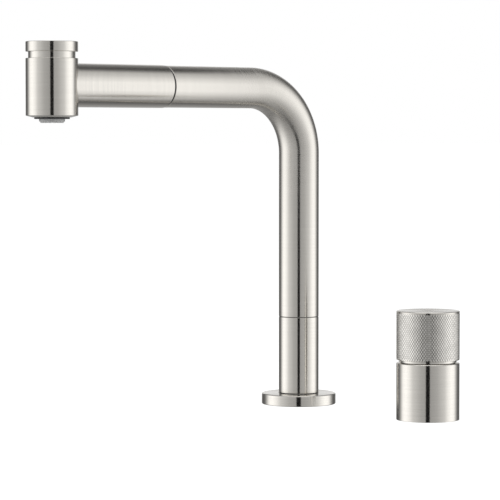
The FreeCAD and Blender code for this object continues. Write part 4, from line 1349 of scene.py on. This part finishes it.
@dataclass(frozen=True)
class NozzleRing:
    """A ring of short soft nozzles under the spray head."""

    foot: Vector
    circle: float
    count: int
    radius: float = 1.25 * MM
    hole_radius: float = 0.6 * MM
    length: float = 0.9 * MM
    taper: float = 0.3 * MM
    ease: float = 0.1 * MM
    steps: int = 16

    def piece(self, material: Material) -> Object:
        """Grow the nozzles.

        Args:
            material: their finish.

        Returns:
            The finished piece.
        """
        small = self.ease / 2.0
        outline = Outline(
            Corner(self.hole_radius, 0.0, small), Corner(self.hole_radius, -self.length, small),
            Corner(self.radius - self.taper, -self.length, self.ease), Corner(self.radius, 0.0, small))
        outline.turn_over()
        nozzle = turned("nozzle", outline, StraightRoute(Vector()), steps=self.steps)
        ring = grown("nozzle_ring", self._tree(), {
            "Foot": self.foot, "Circle": self.circle, "Count": self.count, "Nozzle": nozzle,
            "Material": material})
        bpy.data.objects.remove(nozzle)
        return ring

    @staticmethod
    def _tree() -> NodeTree:
        """Build the tree: a nozzle on each point of a circle.

        Returns:
            The tree.
        """
        sheet, given, result = new_group(
            "nozzle_ring",
            {"Geometry": GEOMETRY, "Foot": VECTOR, "Circle": NUMBER, "Count": WHOLE, "Nozzle": OBJECT,
             "Material": MATERIAL},
            {"Geometry": GEOMETRY}, kind="GeometryNodeTree")
        circle = sheet.add("GeometryNodeMeshCircle", {"Vertices": given["Count"], "Radius": given["Circle"]})
        nozzle = sheet.add("GeometryNodeObjectInfo", {"Object": given["Nozzle"]})
        copies = sheet.add("GeometryNodeInstanceOnPoints",
                           {"Points": circle[0], "Instance": nozzle["Geometry"]})
        placed = sheet.add("GeometryNodeTransform", {"Geometry": copies[0], "Translation": given["Foot"]})
        solid = sheet.add("GeometryNodeRealizeInstances", {0: placed[0]})
        painted = sheet.add("GeometryNodeSetMaterial", {"Geometry": solid[0], "Material": given["Material"]})
        sheet.feed(result, {"Geometry": painted[0]})
        return sheet.tree


# The hose and the cap's spring

@dataclass
class SprayHose:
    """The hose in the spout; the braid along its stretch in the arm is measured for the length it has when
    the spray is pulled out.
    """

    finishes: Finishes
    wall: float = 1.6 * MM
    arm_rings: int = 110
    steps: int = 40

    def build(self, pull: float) -> None:
        """Make and dress the hose.

        Args:
            pull: how far the spray comes out.
        """
        riser, arm = NodeBox.of("riser_hose"), NodeBox.of("arm_hose")
        radius = arm.radius
        route = BentRoute(riser.low.z, riser.high.z - radius)
        arm_length = arm.high.y - arm.low.y
        length = route.arm_start + arm_length

        def pulled(distance: float) -> float:
            share = min(max((distance - route.arm_start) / arm_length, 0.0), 1.0)
            return distance + pull * share * share * (3.0 - 2.0 * share)

        outline = ring_outline(radius - self.wall, radius, 0.0, length)
        rings = [route.arm_start + arm_length * step / self.arm_rings for step in range(1, self.arm_rings)]
        outline.split_at(route.bend_stations() + rings)
        outline.measure_along(pulled)
        hose = turned("spray_hose", outline, route, steps=self.steps)
        hose.data.materials.append(self.finishes.by_slot["hose_braid"])
        middle = arm.middle.z
        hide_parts("riser_hose", "arm_hose")
        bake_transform(hose)
        log.info("%s stretches between spout and spray", hose.name)


@dataclass
class CapSpring:
    """The coil that lifts the cap again."""

    finishes: Finishes
    wire_radius: float = 0.5 * MM
    turns: int = 5
    rings_per_turn: int = 32
    steps: int = 12

    def build(self) -> None:
        """Make and dress the coil."""
        box, axis = NodeBox.of("return_spring"), NodeBox.of("push_cap").foot
        rise = box.height - 2.0 * self.wire_radius
        foot = Vector((axis.x, axis.y, box.low.z + self.wire_radius))
        route = CoilRoute(foot, box.radius - self.wire_radius, rise / self.turns)
        length = route.turn_length * self.turns
        outline = rod_outline(self.wire_radius, 0.0, length)
        count = self.turns * self.rings_per_turn
        outline.split_at([length * step / count for step in range(1, count)])
        coil = turned("cap_spring", outline, route, steps=self.steps)
        coil.data.materials.append(self.finishes.by_slot["plain_steel"])
        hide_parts("return_spring")
        box.foot
        box.foot + Vector((0.0, 0.0, box.height))
        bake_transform(coil)
        log.info("%s is pressed between spray and cap", coil.name)


# Studio

@dataclass(frozen=True)
class Glow:
    """More light that steel mirrors, which fades in over spans of height and of angle, in degrees."""

    level: float
    heights: tuple[Span, ...]
    angles: tuple[Span, ...] = ()

    def light(self, sheet: NodeSheet, height: Wire, angle: Wire) -> Wire:
        """Add the nodes of the light.

        Args:
            sheet: where the nodes go.
            height: height above the horizon, in radians.
            angle: angle from the camera's side, in radians.

        Returns:
            The light's strength.
        """
        fades = [(height, span) for span in self.heights] + [(angle, span) for span in self.angles]
        strength: Wire | float = self.level
        for value, (start, end) in fades:
            strength = sheet.ramp(value, (math.radians(start), math.radians(end))) * strength
        return strength


class Lamp(NamedTuple):
    """A soft lamp: how far it hangs to the right, towards the camera and up, and its power."""

    name: str
    right: float
    back: float
    up: float
    power: float


@dataclass
class Studio:
    """The pale floor, the soft light round the tap and the camera."""

    turn: float = math.radians(49.86)     # the camera stands this far round from the front
    distance: float = 1.7532              # on the level, from the riser to the camera
    aside: float = -0.03425               # how far to the right of the riser the camera stands
    eye_height: float = 0.190
    look_down: float = math.radians(2.68)
    lens: float = 180.0                   # in millimetres, as is the sensor
    sensor: float = 36.0
    matt: float = 0.9                     # roughness of floor and card
    floor_size: float = 60.0
    floor_glow: float = 0.84
    floor_colour: Colour = (0.35, 0.35, 0.35)
    card_width: float = 0.436
    card_rise: float = 1.3                # how far the card reaches above the camera
    card_drop: float = 3.9                # how far it reaches below, for the inside of the bend
    card_colour: Colour = (0.02, 0.02, 0.02)
    room_light: float = 0.55              # what matt surfaces get from all round
    # Light that steel mirrors, by angle from the camera's side and by height, both in degrees
    around: tuple[Span, ...] = (
        (0.0, 0.31), (8.4, 0.31), (30.0, 0.37), (60.0, 0.57), (75.0, 0.84), (90.0, 1.0), (104.0, 0.95),
        (110.0, 0.80), (116.0, 0.55), (122.0, 0.36), (130.0, 0.16), (142.0, 0.08), (150.0, 0.10),
        (165.0, 0.24), (180.0, 0.34))
    upward: tuple[Span, ...] = (
        (-90.0, 0.20), (-60.0, 0.34), (-49.0, 0.42), (-41.0, 0.52), (-29.0, 0.76), (-18.0, 0.98),
        (-6.0, 1.0), (12.0, 1.0), (20.0, 0.88), (29.0, 0.75), (41.0, 0.55), (49.0, 0.50), (62.0, 0.50),
        (90.0, 0.70))
    mirrored_strength: float = 1.28
    # The floor well below, the backdrop low behind, the sky high above and a light over the camera
    glows: tuple[Glow, ...] = (
        Glow(0.10, heights=((-15.0, -45.0),)),
        Glow(0.36, heights=((-2.0, 5.0), (32.0, 20.0)), angles=((150.0, 170.0),)),
        Glow(0.50, heights=((52.0, 75.0),)),
        Glow(0.42, heights=((22.0, 38.0),), angles=((75.0, 45.0),)))
    lamps: tuple[Lamp, ...] = (
        Lamp("left_lamp", right=-1.5, back=0.5, up=0.9, power=7.0),
        Lamp("right_lamp", right=1.5, back=0.5, up=0.9, power=7.0),
        Lamp("top_lamp", right=0.0, back=0.0, up=1.8, power=9.0))
    lamp_size: float = 1.0
    lamp_aim: float = 0.1                 # height that the lamps point at

    @property
    def back(self) -> Vector:
        """Level direction from the tap to the camera."""
        return Vector((math.sin(self.turn), -math.cos(self.turn), 0.0))

    @property
    def right(self) -> Vector:
        """Level direction to the right of the picture."""
        return Vector((math.cos(self.turn), math.sin(self.turn), 0.0))

    @property
    def eye(self) -> Vector:
        """Where the camera stands."""
        return self.back * self.distance + self.right * self.aside + UP * self.eye_height

    def build(self) -> None:
        """Make the floor, card, world, lamps and camera."""
        scene = bpy.context.scene
        scene.view_settings.view_transform = "Standard"
        self._floor()
        self._card()
        self._world(scene)
        self._lamps(scene)
        self._camera(scene)

    def _panel(self, name: str, corners: Sequence[Vector],
               colour: Colour) -> tuple[Object, NodeSheet, Node]:
        """Make a flat matt panel.

        Args:
            name: the panel's name.
            corners: its four corners, in order.
            colour: its colour.

        Returns:
            The panel, its material's sheet and its shader.
        """
        mesh = bpy.data.meshes.new(name)
        mesh.from_pydata(corners, [], [(0, 1, 2, 3)])
        material, sheet, shader = new_material(name)
        sheet.feed(shader, {"Base Color": tint(colour), "Roughness": self.matt, "Specular IOR Level": 0.0})
        mesh.materials.append(material)
        return new_piece(name, mesh), sheet, shader

    def _floor(self) -> None:
        """Lay a pale floor that shows white and keeps a faint shadow."""
        half = self.floor_size / 2.0
        corners = [Vector((x * half, y * half, 0.0)) for x, y in ((-1, -1), (1, -1), (1, 1), (-1, 1))]
        floor, sheet, shader = self._panel("floor", corners, self.floor_colour)
        glow = sheet.add("ShaderNodeLightPath")["Is Camera Ray"] * self.floor_glow
        sheet.feed(shader, {"Emission Color": WHITE, "Emission Strength": glow})
        floor.visible_glossy = False

    def _card(self) -> None:
        """Stand a dark card where the camera is, which only the steel sees, as a thin dark line."""
        across = self.right * (self.card_width / 2.0)
        top, foot = self.eye + UP * self.card_rise, self.eye - UP * self.card_drop
        corners = [foot - across, foot + across, top + across, top - across]
        card, _, _ = self._panel("dark_card", corners, self.card_colour)
        for ray in ("camera", "diffuse", "transmission", "volume_scatter", "shadow"):
            setattr(card, f"visible_{ray}", False)

    def _world(self, scene: Scene) -> None:
        """Surround the tap with white for the camera and soft panels for the steel.

        Args:
            scene: the scene.
        """
        world = bpy.data.worlds.new("studio")
        world.use_nodes = True
        sheet = NodeSheet(world.node_tree)
        direction = sheet.add("ShaderNodeTexCoord")["Generated"]
        towards = sheet.vectors("DOT_PRODUCT", direction, self.back, "Value")
        rightward = sheet.vectors("DOT_PRODUCT", direction, self.right, "Value")
        angle = sheet.math("ABSOLUTE", sheet.math("ARCTAN2", rightward, towards))
        height = sheet.math("ARCSINE", sheet.parts(direction)[2])
        round_level = self._levels(sheet, angle / math.pi, self.around)
        up_level = self._levels(sheet, height / math.pi + 0.5, self.upward)
        mirrored = round_level * up_level * self.mirrored_strength
        for glow in self.glows:
            mirrored = mirrored + glow.light(sheet, height, angle)
        path = sheet.add("ShaderNodeLightPath")
        plain = sheet.math("MAXIMUM", path["Is Camera Ray"], path["Is Transmission Ray"])
        shown = sheet.blend(path["Is Glossy Ray"], self.room_light, mirrored)
        sheet.feed(world.node_tree.nodes["Background"],
                   {"Color": WHITE, "Strength": sheet.blend(plain, shown, 1.0)})
        scene.world = world

    @staticmethod
    def _levels(sheet: NodeSheet, share: Wire, levels: Sequence[Span]) -> Wire:
        """Turn a share from 0 to 1 into a brightness.

        Args:
            sheet: where the nodes go.
            share: the value to look up.
            levels: (degrees, brightness) in order; the first is at a share of 0 and the last at 1.

        Returns:
            The brightness.
        """
        ramp = sheet.add("ShaderNodeValToRGB", {0: share})
        stops = ramp.node.color_ramp.elements
        ramp.node.color_ramp.interpolation = "LINEAR"
        while len(stops) < len(levels):
            stops.new(0.5)    # anywhere, because every stop is placed below
        low, high = levels[0][0], levels[-1][0]
        for stop, (degrees, level) in zip(stops, levels):
            stop.position = (degrees - low) / (high - low)
            stop.color = (level, level, level, 1.0)
        return ramp["Color"]

    def _lamps(self, scene: Scene) -> None:
        """Hang soft lamps left, right and above, which the steel doesn't mirror.

        Args:
            scene: the scene.
        """
        for lamp in self.lamps:
            light = bpy.data.lights.new(lamp.name, "AREA")
            light.shape = "SQUARE"
            light.size = self.lamp_size
            light.energy = lamp.power
            holder = bpy.data.objects.new(lamp.name, light)
            holder.location = self.right * lamp.right + self.back * lamp.back + UP * lamp.up
            holder.rotation_euler = (UP * self.lamp_aim - holder.location).to_track_quat("-Z", "Y").to_euler()
            holder.visible_glossy = False
            scene.collection.objects.link(holder)

    def _camera(self, scene: Scene) -> None:
        """Stand the camera where the photograph was taken from.

        Args:
            scene: the scene.
        """
        data = bpy.data.cameras.new("camera")
        data.lens = self.lens
        data.sensor_width = self.sensor
        camera = bpy.data.objects.new("camera", data)
        camera.location = self.eye
        forward = -self.back * math.cos(self.look_down) - UP * math.sin(self.look_down)
        camera.rotation_euler = forward.to_track_quat("-Z", "Y").to_euler()
        scene.collection.objects.link(camera)
        scene.camera = camera


def dress_nodes(frame: dict, finishes: Finishes) -> None:
    """Give every CAD node that still shows its slot's procedural finish.

    Args:
        finishes: the finishes.
    """
    slots = {part["node"]: part["material_slot"] for part in frame["record"]["subparts"]}
    for name, node in frame["nodes"].items():
        if node.hide_render:
            continue
        if NodeBox.of(name).low.z < 0.0:
            node.visible_glossy = False    # a deck would hide it from the steel above
        node.data.materials.clear()
        node.data.materials.append(finishes.by_slot[slots[name]])
        log.info("%s keeps its CAD shape in %s", name, slots[name])


def main() -> None:
    """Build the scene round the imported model."""
    logging.basicConfig(level=logging.INFO, format="%(name)s: %(message)s")
    for thing in list(bpy.data.objects):
        bpy.data.objects.remove(thing)
    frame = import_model()
    finishes = Finishes()
    pull = next(joint["range_m"][1] for joint in frame["joints"] if joint["name"] == "spray_pull")
    for assembly in (BaseStand, Spout, Spray, PushCap, Control):
        assembly(finishes).build()
    SprayHose(finishes).build(pull)
    CapSpring(finishes).build()
    dress_nodes(frame, finishes)
    Studio().build()


if __name__ == "__main__":
    main()
